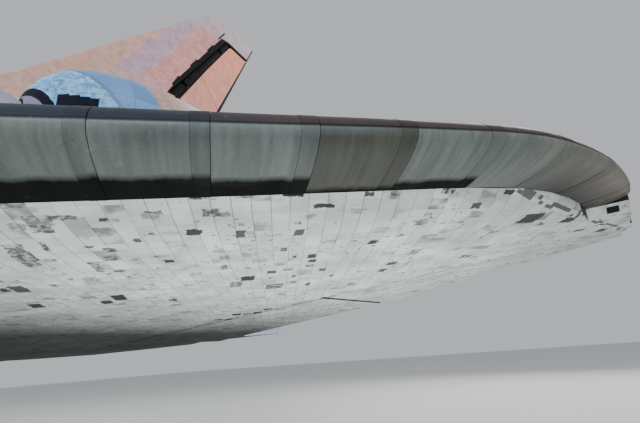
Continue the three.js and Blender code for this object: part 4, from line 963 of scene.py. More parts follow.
# %% Geometry Nodes plans
class Plan:
    """A Geometry Nodes tree with named sizes, whose nodes are made as a paint's nodes are."""

    def __init__(self, name, **sizes):
        self.tree = bpy.data.node_groups.new(name, "GeometryNodeTree")
        face = self.tree.interface
        face.new_socket("Geometry", in_out="INPUT", socket_type="NodeSocketGeometry")
        self.keys = {}
        for title, value in sizes.items():
            kind = "NodeSocketInt" if isinstance(value, int) else "NodeSocketFloat"
            socket = face.new_socket(title, in_out="INPUT", socket_type=kind)
            socket.default_value = value
            self.keys[title] = socket.identifier
        face.new_socket("Geometry", in_out="OUTPUT", socket_type="NodeSocketGeometry")
        self.entry = self.tree.nodes.new("NodeGroupInput")

    def given(self, title):
        return self.entry.outputs[title]

    def node(self, kind, settings, sockets, output=0):
        made = self.tree.nodes.new(kind)
        for name, value in settings.items():
            setattr(made, name, value)
        for key, value in sockets.items():
            if isinstance(value, bpy.types.NodeSocket):
                self.tree.links.new(value, made.inputs[key])
            else:
                made.inputs[key].default_value = value
        return made.outputs[output]

    def close(self, geometry, material):
        real = self.node("GeometryNodeRealizeInstances", {}, {"Geometry": geometry})
        dressed = self.node("GeometryNodeSetMaterial", {}, {"Geometry": real, "Material": material})
        self.tree.links.new(dressed, self.tree.nodes.new("NodeGroupOutput").inputs[0])
        return self

    def grow(self, name, points, edges=(), facing=None, **sizes):
        """The plan carried out at these points, as one plain mesh."""
        seed = bpy.data.meshes.new(name)
        seed.from_pydata([tuple(p) for p in points], list(edges), [])
        if facing:
            attribute = seed.attributes.new("facing", "FLOAT_VECTOR", "POINT")
            attribute.data.foreach_set("vector", np.array(facing, np.float32).ravel())
        holder = bpy.data.objects.new(name, seed)
        bpy.context.scene.collection.objects.link(holder)
        modifier = holder.modifiers.new("plan", "NODES")
        modifier.node_group = self.tree
        for title, value in sizes.items():
            modifier[self.keys[title]] = value
        carried_out = holder.evaluated_get(bpy.context.evaluated_depsgraph_get())
        result = bpy.data.meshes.new_from_object(carried_out)
        bpy.data.objects.remove(holder)
        return result


print("a plan can", methods(Plan))

# %% [markdown]
# ## Bolts, hoops and pipes
# A bolt head is a low cylinder put on each point, turned the way that the point's own note says. A hoop is a
# circle put on the bell's axis and grown to the outline's distance from it. A pipe is a line with rounded
# corners and a small circle drawn along it.

# %% The three plans
def bolt_plan(name, material, sides=6):
    """A bolt head on every point, facing the way that the point's attribute says."""
    plan = Plan(name, Radius=0.02, Height=0.01)
    sizes = {"Vertices": sides, "Radius": plan.given("Radius"), "Depth": plan.given("Height")}
    head = plan.node("GeometryNodeMeshCylinder", {}, sizes)
    facing = plan.node(
        "GeometryNodeInputNamedAttribute", {"data_type": "FLOAT_VECTOR"}, {"Name": "facing"})
    turn = plan.node("FunctionNodeAlignRotationToVector", {"axis": "Z"}, {"Vector": facing})
    places = {"Points": plan.given("Geometry"), "Instance": head, "Rotation": turn}
    return plan.close(plan.node("GeometryNodeInstanceOnPoints", {}, places), material)


def hoop_plan(name, material):
    """Hoops about the z axis, spread along an outline in the x and z plane."""
    plan = Plan(name, Hoops=8, Wire=0.02)
    outline = plan.node("GeometryNodeMeshToCurve", {}, {"Mesh": plan.given("Geometry")})
    spread = plan.node("GeometryNodeResampleCurve", {}, {"Curve": outline, "Count": plan.given("Hoops")})
    position = plan.node("GeometryNodeInputPosition", {}, {})
    reach = plan.node("ShaderNodeSeparateXYZ", {}, {"Vector": position})
    note = {"Geometry": spread, "Name": "reach", "Value": reach}
    noted = plan.node("GeometryNodeStoreNamedAttribute", {}, note)
    on_axis = plan.node("ShaderNodeVectorMath", {"operation": "MULTIPLY"}, {0: position, 1: (0, 0, 1)})
    centred = plan.node("GeometryNodeSetPosition", {}, {"Geometry": noted, "Position": on_axis})
    circle = plan.node("GeometryNodeCurvePrimitiveCircle", {}, {"Resolution": 96, "Radius": 1.0})
    size = plan.node("GeometryNodeInputNamedAttribute", {}, {"Name": "reach"})
    places = {"Points": centred, "Instance": circle, "Scale": size}
    rings = plan.node("GeometryNodeInstanceOnPoints", {}, places)
    lines = plan.node("GeometryNodeRealizeInstances", {}, {"Geometry": rings})
    section = {"Resolution": 8, "Radius": plan.given("Wire")}
    wire = plan.node("GeometryNodeCurvePrimitiveCircle", {}, section)
    hoops = plan.node("GeometryNodeCurveToMesh", {}, {"Curve": lines, "Profile Curve": wire})
    return plan.close(hoops, material)


def pipe_plan(name, material):
    """A round pipe with eased bends along a line of points."""
    plan = Plan(name, Radius=0.01, Bend=0.06)
    line = plan.node("GeometryNodeMeshToCurve", {}, {"Mesh": plan.given("Geometry")})
    corners = {"Curve": line, "Radius": plan.given("Bend"), "Count": 4}
    eased = plan.node("GeometryNodeFilletCurve", {"mode": "POLY"}, corners)
    section = {"Resolution": 12, "Radius": plan.given("Radius")}
    profile = plan.node("GeometryNodeCurvePrimitiveCircle", {}, section)
    sockets = {"Curve": eased, "Profile Curve": profile, "Fill Caps": True}
    return plan.close(plan.node("GeometryNodeCurveToMesh", {}, sockets), material)


steel_bolts = bolt_plan("steel_bolts", bright_steel)
dark_bolts = bolt_plan("dark_bolts", dark_metal, 8)
bell_hoops = hoop_plan("bell_hoops", wheel_metal)
pipes = pipe_plan("pipes", bright_steel)


def chain(count):
    """Edges that join this many points in a row."""
    return [(k, k + 1) for k in range(count - 1)]


print("plans", steel_bolts.tree.name, dark_bolts.tree.name, bell_hoops.tree.name, pipes.tree.name)

# %% [markdown]
# ## Finding the skin
# A frame around a window has to lie on the skin, and a line shot at the dressed piece says where that is.
# The frame is a flat band: at each place around the opening it has two points in the skin and two above.

# %% Frames on a skin
def skin_of(name):
    mesh = bpy.data.objects[name].data
    return BVHTree.FromPolygons([v.co for v in mesh.vertices], [p.vertices[:] for p in mesh.polygons])


def meet(skin, start, way):
    """Where a line meets the skin, and which way the skin faces there."""
    point, normal, *_ = skin.ray_cast(start, way)
    if point is None:
        return None, None
    return point, normal if normal.dot(way) < 0 else -normal


FRAME_STEPS = 8


def frame_around(shape, skin, corners, way, inner, outer, lift, bolts, steps=FRAME_STEPS):
    """A band between two offsets from an opening's outline, with a bolt at every third place."""
    middle = sum(corners, Vector()) / len(corners)
    line = [a.lerp(b, k / steps) for a, b in zip(corners, corners[1:] + corners[:1]) for k in range(steps)]
    rings = []
    for index, start in enumerate(line):
        out = (start - middle).normalized() * INCH
        near, facing = meet(skin, start + out * inner, way)
        far, _ = meet(skin, start + out * outer, way)
        if near is None or far is None:
            continue
        rise = facing * (lift * INCH)
        rings.append([near - rise, near + rise, far + rise, far - rise])
        if index % 3 == 1:
            bolts.append((near.lerp(far, 0.5) + rise, facing))
    shape.loft(rings, loop=True)
    return len(rings)


def put_bolts(plan, name, body, bolts, radius, height, slot):
    """Bolt heads of these sizes in inches on marked places."""
    points, facing = zip(*bolts)
    mesh = plan.grow(name, points, facing=facing, Radius=radius * INCH, Height=height * INCH)
    return add_piece(name, mesh, body, [], slot=slot)


print("places along each side of a frame", FRAME_STEPS)

# %% [markdown]
# ## Carbon leading edges, panel by panel
# Twenty-two shells line each leading edge from the kink outwards, with a seal strip at each joint. The
# nose line is the wing's plan: straight down the glove, rounded at the kink, straight to the tip and round
# it. A section square to that line is a rounded nose between the wing's lower and upper skin. Each shell
# is a closed body of its own between two sections, so the joints are real gaps, and the shells' faces
# carry the attributes that the carbon's shader reads.

# %% The nose line
GLOVE, KINK, CORNER, TIP_END = (95, 448), (186, 1022), (468, 1304), (468, 1350)
KINK_ROUND, TIP_ROUND, BEND_STEPS = 110, 46, 40


def towards(start, end, length):
    share = length / math.dist(start, end)
    return tuple(between(a, b, share) for a, b in zip(start, end))


def bend(start, control, end):
    """Points on a curve from start to end that leans towards the control point."""
    for k in range(1, BEND_STEPS + 1):
        t = k / BEND_STEPS
        weights = ((1 - t) ** 2, 2 * t * (1 - t), t * t)
        yield tuple(sum(w * c for w, c in zip(weights, row)) for row in zip(start, control, end))


kink_in, kink_out = towards(KINK, GLOVE, KINK_ROUND), towards(KINK, CORNER, KINK_ROUND)
tip_in, tip_out = towards(CORNER, KINK, TIP_ROUND), towards(CORNER, TIP_END, TIP_ROUND)
edge_line = [GLOVE, kink_in, *bend(kink_in, KINK, kink_out), tip_in, *bend(tip_in, CORNER, tip_out)]
edge_steps = [math.dist(a, b) for a, b in zip(edge_line, edge_line[1:])]
EDGE_LENGTH = sum(edge_steps)
TO_STRAIGHT = sum(edge_steps[:1 + BEND_STEPS])  # length of the line up to its straight outer part
print("nose line", round(EDGE_LENGTH), "in, straight from", round(TO_STRAIGHT))

# %% [markdown]
# ## One section of the leading edge
# The section's lower and upper rims lie on the wing's skin at the front spar, and the shell runs round from
# one to the other in an even curve. How deep it is and how thick the wing is there come from two tables.
# The share of the way round that each point has is kept too, because the carbon's shader needs it.

# %% Section of the leading edge
# columns: share of the edge's length, depth of the leading edge panels behind the nose
PANEL_DEPTH = [(0, 12), (0.3, 17), (0.55, 23), (0.68, 25), (0.9, 23), (1, 15)]
# columns: y0, thickness at the front spar, rise of the lower skin there
SPAR = [(70, 20, 7), (110, 21, 7), (150, 24, 6.5), (186, 27, 6), (250, 26, 5.6), (312, 23, 5.4),
        (400, 17.8, 5.2), (432, 15.2, 4.9), (444, 12, 4.5), (453, 8.6, 4), (457, 7.8, 3.8)]
SPAR_END = 456.9  # the front spar stops here, so the tip's sections all take its last size
NOSE_HEIGHT = 0.42  # where the nose line lies between the two skins
WRAP = math.radians(72)  # how far a section's curve turns each way from the nose
SECTION_STEPS = 22


def wing_bottom(y0):
    return 270 + (y0 - 102) * math.tan(math.radians(3.5))


def edge_at(distance):
    """The point on the nose line and the way in to the wing."""
    left = min(max(distance, 0), EDGE_LENGTH - 1e-6)
    for a, b, step in zip(edge_line, edge_line[1:], edge_steps):
        if left <= step:
            along = ((b[0] - a[0]) / step, (b[1] - a[1]) / step)
            return (a[0] + along[0] * left, a[1] + along[1] * left), (-along[1], along[0])
        left -= step


def edge_section(distance, proud):
    """Points around the nose from the lower to the upper rim, and how far around each one is."""
    (py, px), inward = edge_at(distance)
    depth = read(PANEL_DEPTH, distance / EDGE_LENGTH, 1)
    spar_y = min(py + inward[0] * depth, SPAR_END)
    low = wing_bottom(spar_y) + read(SPAR, spar_y, 2)
    high = low + read(SPAR, spar_y, 1)
    nose = between(low, high, NOSE_HEIGHT)
    ring = []
    for k in range(SECTION_STEPS + 1):
        angle = (2 * k / SECTION_STEPS - 1) * WRAP
        behind = depth * (1 - math.cos(angle)) / (1 - math.cos(WRAP)) - proud * math.cos(angle)
        height = math.sin(abs(angle)) / math.sin(WRAP)
        z0 = nose + ((low if angle < 0 else high) - nose) * height + proud * math.sin(angle)
        ring.append((place(py + inward[0] * behind, px + inward[1] * behind, z0), k / SECTION_STEPS))
    return ring


print("points around a section", len(edge_section(EDGE_LENGTH / 2, 0)))

# %% [markdown]
# ## Shells and seal strips
# The seams of the real edge stand evenly along it, so one pitch and one measured seam place them all. Every
# shell and every strip is lofted through its own sections. How each panel of the photograph is burnt is
# kept in a table, counted from the tip, and the panels beyond the photograph repeat a few such looks.

# %% Leading edges
SEAM_PITCH = 17.6 * math.sqrt(2)
FIRST_SEAM_Y0 = 439.6
SEAMS = range(3, -19, -1)  # seams counted from the first one, outwards and inwards
STRIP, STRIP_PROUD = 4.4, 0.1
SEAM, STRIP_SEAM = 0.17, 0.07
# columns: width of the burnt rim, olive tint, of the panels from the tip inwards
PANEL_LOOKS = [(0, 0.1), (0, 0.2), (0, 0.1), (0, 0.2), (0.08, 0.1), (0.03, 1.0), (0.11, 0.15),
               (0.135, 0.1), (0.14, 0.2)]
GOLDEN = 0.618  # going on by this share gives each panel a tone of its own


def panel_look(index):
    if index < len(PANEL_LOOKS):
        return PANEL_LOOKS[index]
    return 0.15 - 0.03 * (index % 3), 0.15 * (index % 2)


def leading_edge():
    shape = Shape()
    first_seam = TO_STRAIGHT + (FIRST_SEAM_Y0 - kink_out[0]) * math.sqrt(2)
    seams = [first_seam + SEAM_PITCH * k for k in SEAMS]
    ends = [EDGE_LENGTH, *[s for s in seams if s < EDGE_LENGTH - 6]]
    for index, (outer, inner) in enumerate(zip(ends, ends[1:])):
        look = (*panel_look(index), (index * GOLDEN) % 1)
        strip_start = outer - STRIP
        # columns: start, end, how proud it stands, 1 for a strip, number of sections
        shells = ((inner + SEAM / 2, strip_start - STRIP_SEAM / 2, 0, 0, 7),
                  (strip_start + STRIP_SEAM / 2, outer - SEAM / 2, STRIP_PROUD, 1, 3))
        for start, end, proud, strip, cuts in shells:
            rings = []
            for k in range(cuts):
                distance = between(start, end, k / (cuts - 1))
                along = distance - first_seam + FIRST_SEAM_ALONG
                ring = edge_section(distance, proud)
                rings.append([p for p, _ in ring])
                shape.note("edge", [(along, around, strip) for _, around in ring])
                shape.note("panel", [look] * len(ring))
            shape.loft(rings)
    return shape, ends[-1]


def glove_edge(end):
    """The tiled edge of the glove, ahead of the first carbon panel, as one long body."""
    shape = Shape()
    distances = np.linspace(10, end - 0.2, 60)
    shape.loft([[p for p, _ in edge_section(d, 0)] for d in distances])
    return shape


panels, carbon_start = leading_edge()
glove = glove_edge(carbon_start)
for side, sign in SIDES:
    panels_here, glove_here = (panels, glove) if sign > 0 else (panels.mirrored(), glove.mirrored())
    panels_here.piece(f"leading_edge_panels_{side}", "orbiter", [carbon], [f"leading_edge_{side}"])
    glove_here.piece(f"glove_edge_{side}", "orbiter", [black_tiles], slot="black_tile")
print("carbon from", round(carbon_start), "in along the edge, points", len(panels.points))

# %% [markdown]
# ## Wings, elevons and body flap
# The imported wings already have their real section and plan, so each is copied, merged and smoothed. A face
# chooses its material by the way it looks: pale tiles below, blankets above and behind, and dark tiles on
# the ends and at the tip's rear corner. That is steadier than a shader test on the normal, which would
# bleed round a smooth edge.

# %% Wings and moving surfaces
def wing_side(_, normal):
    """0 for a face below, 1 for one above or behind, 2 for an end."""
    if normal.z < -0.35:
        return 0
    return 1 if normal.z > 0.3 or normal.y > 0.6 else 2


def tip_or_wing(at, normal):
    y0, x0, _ = at
    if abs(y0) > 440 and x0 > 1345 and normal.z > -0.35:
        return 2
    return wing_side(at, normal)


for side, _ in SIDES:
    dress(f"wing_{side}", [belly, wing_top, black_tiles], tip_or_wing)
    for part in ("inner", "outer"):
        dress(f"elevon_{part}_{side}", [elevon_belly, wing_top, black_tiles], wing_side, sharp=40)


def flap_side(at, normal):
    return 3 if abs(normal.x) > 0.6 else wing_side(at, normal)


dress("body_flap", [elevon_belly, wing_top, black_tiles, flap_end], flap_side, sharp=40)
print("dressed wings, elevons and flap")

# %% [markdown]
# ## Fuselage, cabin and payload bay
# The fuselage sections keep their cut windows, hatch, wells and thruster holes. Inside the cabin the faces
# look towards the craft's middle line, which is how the cabin grey is told from the outer skin.

# %% How a face of the fuselage chooses its finish
def is_belly(at, normal):
    return normal.z < -0.75 and at[2] < 345


def shell_side(limit):
    """Outer skin or lining of an open shell, by the way a face looks."""
    def pick(at, normal):
        y0, _, z0 = at
        if is_belly(at, normal) and z0 < 300:
            return 2
        outwards = normal.x * y0 + normal.z * (z0 - BODY_Z0)
        return 0 if outwards > 0 or math.hypot(y0, z0 - BODY_Z0) > limit else 1
    return pick


def forward_side(at, normal):
    y0, x0, z0 = at
    in_wheel_well = abs(y0) < 21.6 and 291 < x0 < 405 and z0 < 316.5
    if in_wheel_well and abs(normal.z) < 0.9:
        return 2
    in_cabin = 451 < x0 < 567 and abs(y0) < 88 and 317 < z0 < 494
    inwards = normal.x * y0 + normal.z * (z0 - 390) < 0
    if in_cabin and (inwards or abs(normal.y) > 0.99):
        return 1
    return 3 if is_belly(at, normal) else 0


REAR_FACE_X0 = 1519  # behind it lie the engine domes and their blankets


def aft_side(at, normal):
    if at[1] > REAR_FACE_X0:
        return 1
    return 2 if is_belly(at, normal) else 0


def hatch_side(at, normal):
    return 1 if normal.x < -0.5 and at[0] < 92 else 0


THRUSTER_HOLE = 4.4
# columns: bottom and mouth of each thruster hole
THRUSTERS = [((0, x0, 380), (0, x0, 410)) for x0 in (330, 345, 360)]
for _, sign in SIDES:
    for x0 in (322, 338):
        THRUSTERS.append(((sign * 26, x0, 374), (sign * 60, x0, 376)))
        THRUSTERS.append(((sign * 14, x0 + 34, 380), (sign * 34, x0 + 34, 412)))


def module_side(at, normal):
    """Dark metal inside the thruster holes."""
    here = Vector(at)
    for start, end in THRUSTERS:
        base, way = Vector(start), (Vector(end) - Vector(start)).normalized()
        off = here - base - way * (here - base).dot(way)
        if off.length < THRUSTER_HOLE and abs(way.dot(normal)) < 0.5:
            return 1
    return 0


print("thruster holes", len(THRUSTERS))

# %% Fuselage
dress("nose_cap", [nose_carbon])
dress("forward_fuselage", [fuselage_skin, cabin_grey, primer, belly], forward_side)
dress("forward_thruster_module", [fuselage_skin, dark_metal], module_side)
dress("side_hatch", [fuselage_skin, cabin_grey], hatch_side)
dress("flight_deck", [cabin_grey])
dress("windshield", [glass])
for side, _ in SIDES:
    dress(f"roof_window_{side}", [glass])
dress("mid_fuselage", [fuselage_skin, bay_liner, belly], shell_side(99))
dress("aft_fuselage", [fuselage_skin, foil, belly], aft_side, sharp=40)
for side, _ in SIDES:
    dress(f"payload_door_{side}", [door_skin, radiator], shell_side(101.2))

# %% [markdown]
# ## Window frames
# Each pane sits in a dark frame held by a row of screws. The frame's corners are given as they look from
# ahead or from above, and lines shot that way carry them onto the skin.

# %% Window frames
# columns: corners of each port side pane seen from ahead, as y0 and z0
PANES = [
    [(3, 427), (29, 425), (27, 449), (3, 451)],
    [(32, 425), (57, 424), (52, 446), (30, 449)],
    [(60, 424), (77, 427), (68, 441), (55, 446)],
]
ROOF_PANE = [(5, 507), (24, 507), (24, 527), (5, 527)]
forward_skin = skin_of("forward_fuselage_skin")
frames, screws, kept = Shape(), [], []
for _, sign in SIDES:
    for pane in PANES:
        corners = [place(sign * y0, 330, z0) for y0, z0 in pane]
        kept.append(frame_around(frames, forward_skin, corners, Vector((0, 1, 0)), 0.4, 1.5, 0.22, screws))
    corners = [place(sign * y0, x0, 540) for y0, x0 in ROOF_PANE]
    kept.append(frame_around(frames, forward_skin, corners, Vector((0, 0, -1)), 0.4, 2.0, 0.22, screws))
frames.piece("window_frames", "orbiter", [dark_metal], slot="window_glass")
put_bolts(steel_bolts, "window_screws", "orbiter", screws, 0.32, 0.3, "window_glass")
print("window frame sections", kept, "screws", len(screws))

# %% [markdown]
# ## The nose thrusters
# A nozzle stands in each thruster hole with its lip just below the skin. The skin slopes, so lines are shot
# at it all round the hole, and the nozzle stops half an inch below the lowest place that they find.

# %% Nose thrusters
def cup(shape, start, end, radius=4.2, metal=2, soot=3):
    """A thruster's nozzle: a flared cup with a lip and a dark inside."""
    length = math.dist(start, end)
    profile = [(0, 0), (radius * 0.85, 0), (radius, length), (radius - 0.5, length),
               (radius * 0.45, length * 0.3), (0, length * 0.3)]
    shape.turned(profile, start, end, [metal, metal, metal, soot, soot], 28)


BESIDE_HOLE = 6.4  # how far from a hole's axis the skin is whole
nozzles = Shape()
module_skin = skin_of("forward_thruster_module_skin")
for start, end in THRUSTERS:
    base, mouth = place(*start), place(*end)
    way = (mouth - base).normalized()
    beside = way.orthogonal().normalized()
    depths = []
    for turn in range(8):
        off = (Matrix.Rotation(turn * math.pi / 4, 3, way) @ beside) * (BESIDE_HOLE * INCH)
        point, _ = meet(module_skin, base + way * 3 + off, -way)
        if point is not None:
            depths.append((point - base).dot(way))
    lip = base + way * (min(depths) - 0.5 * INCH)
    cup(nozzles, scales(lip - way * (7 * INCH)), scales(lip), 3.5, 0, 1)
nozzles.piece("forward_nozzles", "orbiter", [dark_metal, bell_inside], slot=SLOT_OF["main_engine_top"])
print("nozzles", len(THRUSTERS))

# %% [markdown]
# ## The hatch's window
# The hatch has one small round window in a dark ring, and a circle of bolts nearer its rim. Both circles are
# shot onto the hatch's curved skin from outside, as the window frames were.

# %% Hatch fittings
HATCH_X0, HATCH_Z0, WINDOW_Z0 = 512, 368, 376
OUTSIDE_Y0 = 150  # well outside the hatch, where the lines at its skin start
to_hatch = Vector((-1, 0, 0))
hatch_skin = skin_of("side_hatch_skin")


def hatch_circle(z0, radius):
    angles = np.linspace(0, 2 * math.pi, 33)[:-1]
    return [place(OUTSIDE_Y0, HATCH_X0 + radius * math.cos(a), z0 + radius * math.sin(a)) for a in angles]


hatch_fittings, hatch_bolts = Shape(), []
window_ring = hatch_circle(WINDOW_Z0, 5)
frame_around(hatch_fittings, hatch_skin, window_ring, to_hatch, 0, 1.4, 0.3, hatch_bolts, steps=1)
centre, facing = meet(hatch_skin, place(OUTSIDE_Y0, HATCH_X0, WINDOW_Z0), to_hatch)
behind_glass, before_glass = centre - facing * (0.3 * INCH), centre + facing * (0.2 * INCH)
pane = [(0, 0), (5.2, 0), (5.2, 0.32), (3, 0.44), (0, 0.48)]
hatch_fittings.turned(pane, scales(behind_glass), scales(before_glass), 1, 40)
for start in hatch_circle(HATCH_Z0, 18)[::2]:
    hatch_bolts.append(meet(hatch_skin, start, to_hatch))
hatch_fittings.piece("hatch_window", "side_hatch", [dark_metal, glass], slot="window_glass")
put_bolts(dark_bolts, "hatch_bolts", "side_hatch", hatch_bolts, 0.4, 0.35, "window_glass")
print("hatch bolts", len(hatch_bolts))

# %% [markdown]
# ## Orbital engine pods
# A pod is a smooth blister. Its packed skin is a loft through a few ellipses, and this one goes through
# the same ellipses with curves between them, so the dome's outline is round in the photograph's view. The
# thrusters of the side housing are dark cups set into its faces.

# %% Pods
# columns: x0, centre y0, centre z0, half width, half height
POD = [(1308, 70, 470, 7, 8), (1312, 72, 470, 18, 20), (1322, 75, 471, 31, 34), (1342, 78, 473, 43, 46),
       (1380, 81, 475, 52, 54), (1440, 83, 477, 56, 58), (1500, 84, 478, 55, 58), (1546, 85, 480, 49, 50)]
DOME_FROM, DOME_TO, POD_END = 1308, 1342, 1546
STINGER = {"y": (96, 136), "x": (1478, 1574), "z": (446, 496)}  # the side housing of the thrusters


def smooth_read(table, at, column):
    """A curve through a table's rows whose slope at a row is the mean of the lines beside it."""
    slopes = [(b[column] - a[column]) / (b[0] - a[0]) for a, b in zip(table, table[1:])]
    for i, (low, high) in enumerate(zip(table, table[1:])):
        if high[0] >= at:
            span = high[0] - low[0]
            t = (at - low[0]) / span
            start = slopes[0] if i == 0 else (slopes[i - 1] + slopes[i]) / 2
            end = slopes[-1] if i == len(slopes) - 1 else (slopes[i] + slopes[i + 1]) / 2
            # Where the curve turns back, a level slope keeps it from swinging past the row
            start = 0 if slopes[i] * start <= 0 else start
            end = 0 if slopes[i] * end <= 0 else end
            return ((2 * t**3 - 3 * t**2 + 1) * low[column] + (t**3 - 2 * t**2 + t) * span * start
                    + (3 * t**2 - 2 * t**3) * high[column] + (t**3 - t**2) * span * end)
    return table[-1][column]


def ellipse(y0, x0, z0, half_width, half_height, count):
    angles = [2 * math.pi * k / count for k in range(count)]
    return [place(y0 + half_width * math.cos(a), x0, z0 + half_height * math.sin(a)) for a in angles]


def pod_section(x0):
    y0, z0, half_width, half_height = (smooth_read(POD, x0, column) for column in (1, 2, 3, 4))
    return ellipse(y0, x0, z0, half_width, half_height, 64)


def pod_shape():
    shape = Shape()
    # The stations stand close together at the dome's front, where it curves most
    dome = [DOME_FROM + (DOME_TO - DOME_FROM) * (k / 14) ** 1.6 for k in range(15)]
    rear = [DOME_TO + (POD_END - DOME_TO) * k / 30 for k in range(1, 31)]
    shape.loft([pod_section(x0) for x0 in dome + rear], end_kind=1)
    (y_in, y_out), (front, back), (bottom, top) = STINGER["y"], STINGER["x"], STINGER["z"]
    y0, z0 = (y_in + y_out) / 2, (bottom + top) / 2
    half_width, half_height = (y_out - y_in) / 2, (top - bottom) / 2
    # columns: x0, share of the width, share of the height
    housing = [(front, 0.4, 0.6), (front + 14, 0.68, 0.82), (front + 30, 0.9, 0.95),
               (back - 40, 0.96, 0.99), (back, 1, 1)]
    shape.loft([ellipse(y0, x0, z0, half_width * w, half_height * h, 40) for x0, w, h in housing], end_kind=1)
    for aft, up in ((-12, -10), (-12, 8), (-30, -10), (-30, 8)):
        outside = y0 + half_width * math.sqrt(1 - (up / half_height) ** 2) * 0.985
        cup(shape, (outside - 2.5, back + aft, z0 + up), (outside + 0.5, back + aft, z0 + up))
    for up in (-9, 9):
        cup(shape, (y0, back - 3, z0 + up), (y0, back - 0.02, z0 + up))
    return shape


pod = pod_shape()
pod_finishes = [pod_skin, black_tiles, dark_metal, bell_inside]
for side, sign in SIDES:
    pod_here = pod if sign > 0 else pod.mirrored()
    pod_here.piece(f"engine_pod_shell_{side}", "orbiter", pod_finishes, [f"engine_pod_{side}"])
print("pod faces", len(pod.faces))

# %% [markdown]
# ## Engines
# A bell is a turned wall, thin at its rim. Its inside is nearly black with soot, and hoops band its outside
# because the hot wall has to be held against the jet's pressure.

# %% Bells
# columns: name, y0, x0, z0 of the gimbal, degrees up, degrees outwards
MAIN_ENGINES = [("top", 0, 1445, 443, 16, 0), ("left", 53, 1468, 342.6, 10, 3.5),
                ("right", -53, 1468, 342.6, 10, -3.5)]
# columns: distance from the axis, distance along it
BELL = [(18, 58), (27, 76), (33, 94), (38.2, 116), (42.4, 142), (45.35, 168)]
POD_BELL = [(5, 30), (8.5, 38), (13.5, 52), (18.2, 68), (21, 82), (22.5, 94)]


def axis_point(engine, distance):
    _, y0, x0, z0, up, out = engine
    up, out = math.radians(up), math.radians(out)
    way = (math.sin(out) * math.cos(up), math.cos(out) * math.cos(up), math.sin(up))
    return y0 + way[0] * distance, x0 + way[1] * distance, z0 + way[2] * distance


def bell_shape(engine, outline, wall, throat):
    """The wall as one closed body: outside, rim, inside and the back of the throat."""
    curve = [(s, r) for r, s in outline]
    stations = np.linspace(curve[0][0], curve[-1][0], 26)
    outside = [(smooth_read(curve, s, 1), s) for s in stations]
    inside = [(max(r - wall, throat), s) for r, s in reversed(outside[2:])]
    profile = [(0, outside[0][1]), *outside, *inside, (0, inside[-1][1])]
    shape = Shape()
    kinds = [0] * len(outside) + [1] * len(inside) + [1]
    shape.turned(profile, axis_point(engine, 0), axis_point(engine, 1), kinds[:len(profile) - 1], 96)
    return shape, outside


def put_hoops(name, engine, outside, count, first, last, wire):
    """Hoops around a bell between two of its stations, turned from upright onto the engine's axis."""
    chosen = outside[first:last]
    points = [Vector(((r + wire * 0.4) * INCH, 0, s * INCH)) for r, s in chosen]
    mesh = bell_hoops.grow(name, points, chain(len(points)), Hoops=count, Wire=wire * INCH)
    origin = place(*axis_point(engine, 0))
    turn = Vector((0, 0, 1)).rotation_difference(place(*axis_point(engine, 1)) - origin)
    mesh.transform(Matrix.Translation(origin) @ turn.to_matrix().to_4x4())
    add_piece(name, mesh, "orbiter", [], slot=SLOT_OF["main_engine_top"])


for engine in MAIN_ENGINES:
    which = engine[0]
    bell, outside = bell_shape(engine, BELL, 2.2, 6)
    bell.piece(f"main_engine_bell_{which}", "orbiter", [bell_metal, bell_inside], [f"main_engine_{which}"])
    put_hoops(f"main_engine_hoops_{which}", engine, outside, 9, 5, 25, 0.75)
for side, sign in SIDES:
    engine = ("orbit", 88 * sign, 1505, 492, 15.8, 6.5 * sign)
    bell, outside = bell_shape(engine, POD_BELL, 1.0, 2.5)
    bell.piece(f"orbit_engine_bell_{side}", "orbiter", [dark_metal, bell_inside], [f"orbit_engine_{side}"])
    put_hoops(f"orbit_engine_hoops_{side}", engine, outside, 3, 9, 25, 0.4)
print("bells", len(MAIN_ENGINES) + len(SIDES))

# %% [markdown]
# ## Fin and split rudder
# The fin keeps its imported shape, a double wedge with the conical black seal in its hinge line, because the
# real one is flat sided too. Merging and smoothing it is all that it needs besides its tiles.

# %% Fin
dress("fin", [fin_tiles], sharp=20)
for side, _ in SIDES:
    dress(f"rudder_{side}", [fin_tiles], sharp=20)
dress("rudder_hinge_seal", [seal_black], sharp=30)
dress("parachute_housing", [wing_top])

# %% [markdown]
# ## Wheels and tyres
# The wheels and tyres are turned from half an outline: the tyre with its rounded shoulders and grooves, the
# wheel with its rim, web and hub. An outline in shares of the radius serves the nose wheels and the main
# wheels alike.

# %% Wheels and tyres
# columns: y0 and x0 of the axle's middle, tyre radius, tyre width, half the distance between two tyres
MAIN_WHEELS = (136, 1168, 22.25, 16, 18.5)
NOSE_WHEELS = (0, 392, 16, 8.8, 11)
AXLE = 2.5
RIM, WHEEL_HALF = 0.56, 0.31  # the wheel's radius and half width as shares of the tyre's
GROOVES, GROOVE_DEPTH = (0.36, 0.12), 0.45
# columns: share of the radius, share of the half width
SHOULDER = [(RIM, 0.62), (0.64, 0.8), (0.74, 0.96), (0.82, 1.0), (0.9, 0.95), (0.955, 0.84), (0.985, 0.7),
            (1, 0.52)]
WHEEL = [(0, 0.5), (0.22, 0.5), (0.24, 0.9), (0.36, 0.86), (0.4, 0.5), (0.72, 0.45), (0.84, 0.6),
         (0.9, 0.98), (1, 1)]


def both_halves(half_outline):
    return half_outline + [(r, -s) for r, s in reversed(half_outline)]


def tyre_profile(radius, width):
    outline = [(radius * r, s) for r, s in SHOULDER]
    for groove in GROOVES:
        outline += [(radius, groove + 0.035), (radius - GROOVE_DEPTH, groove + 0.03),
                    (radius - GROOVE_DEPTH, groove - 0.03), (radius, groove - 0.035)]
    return both_halves([(r, -width / 2 * s) for r, s in outline])


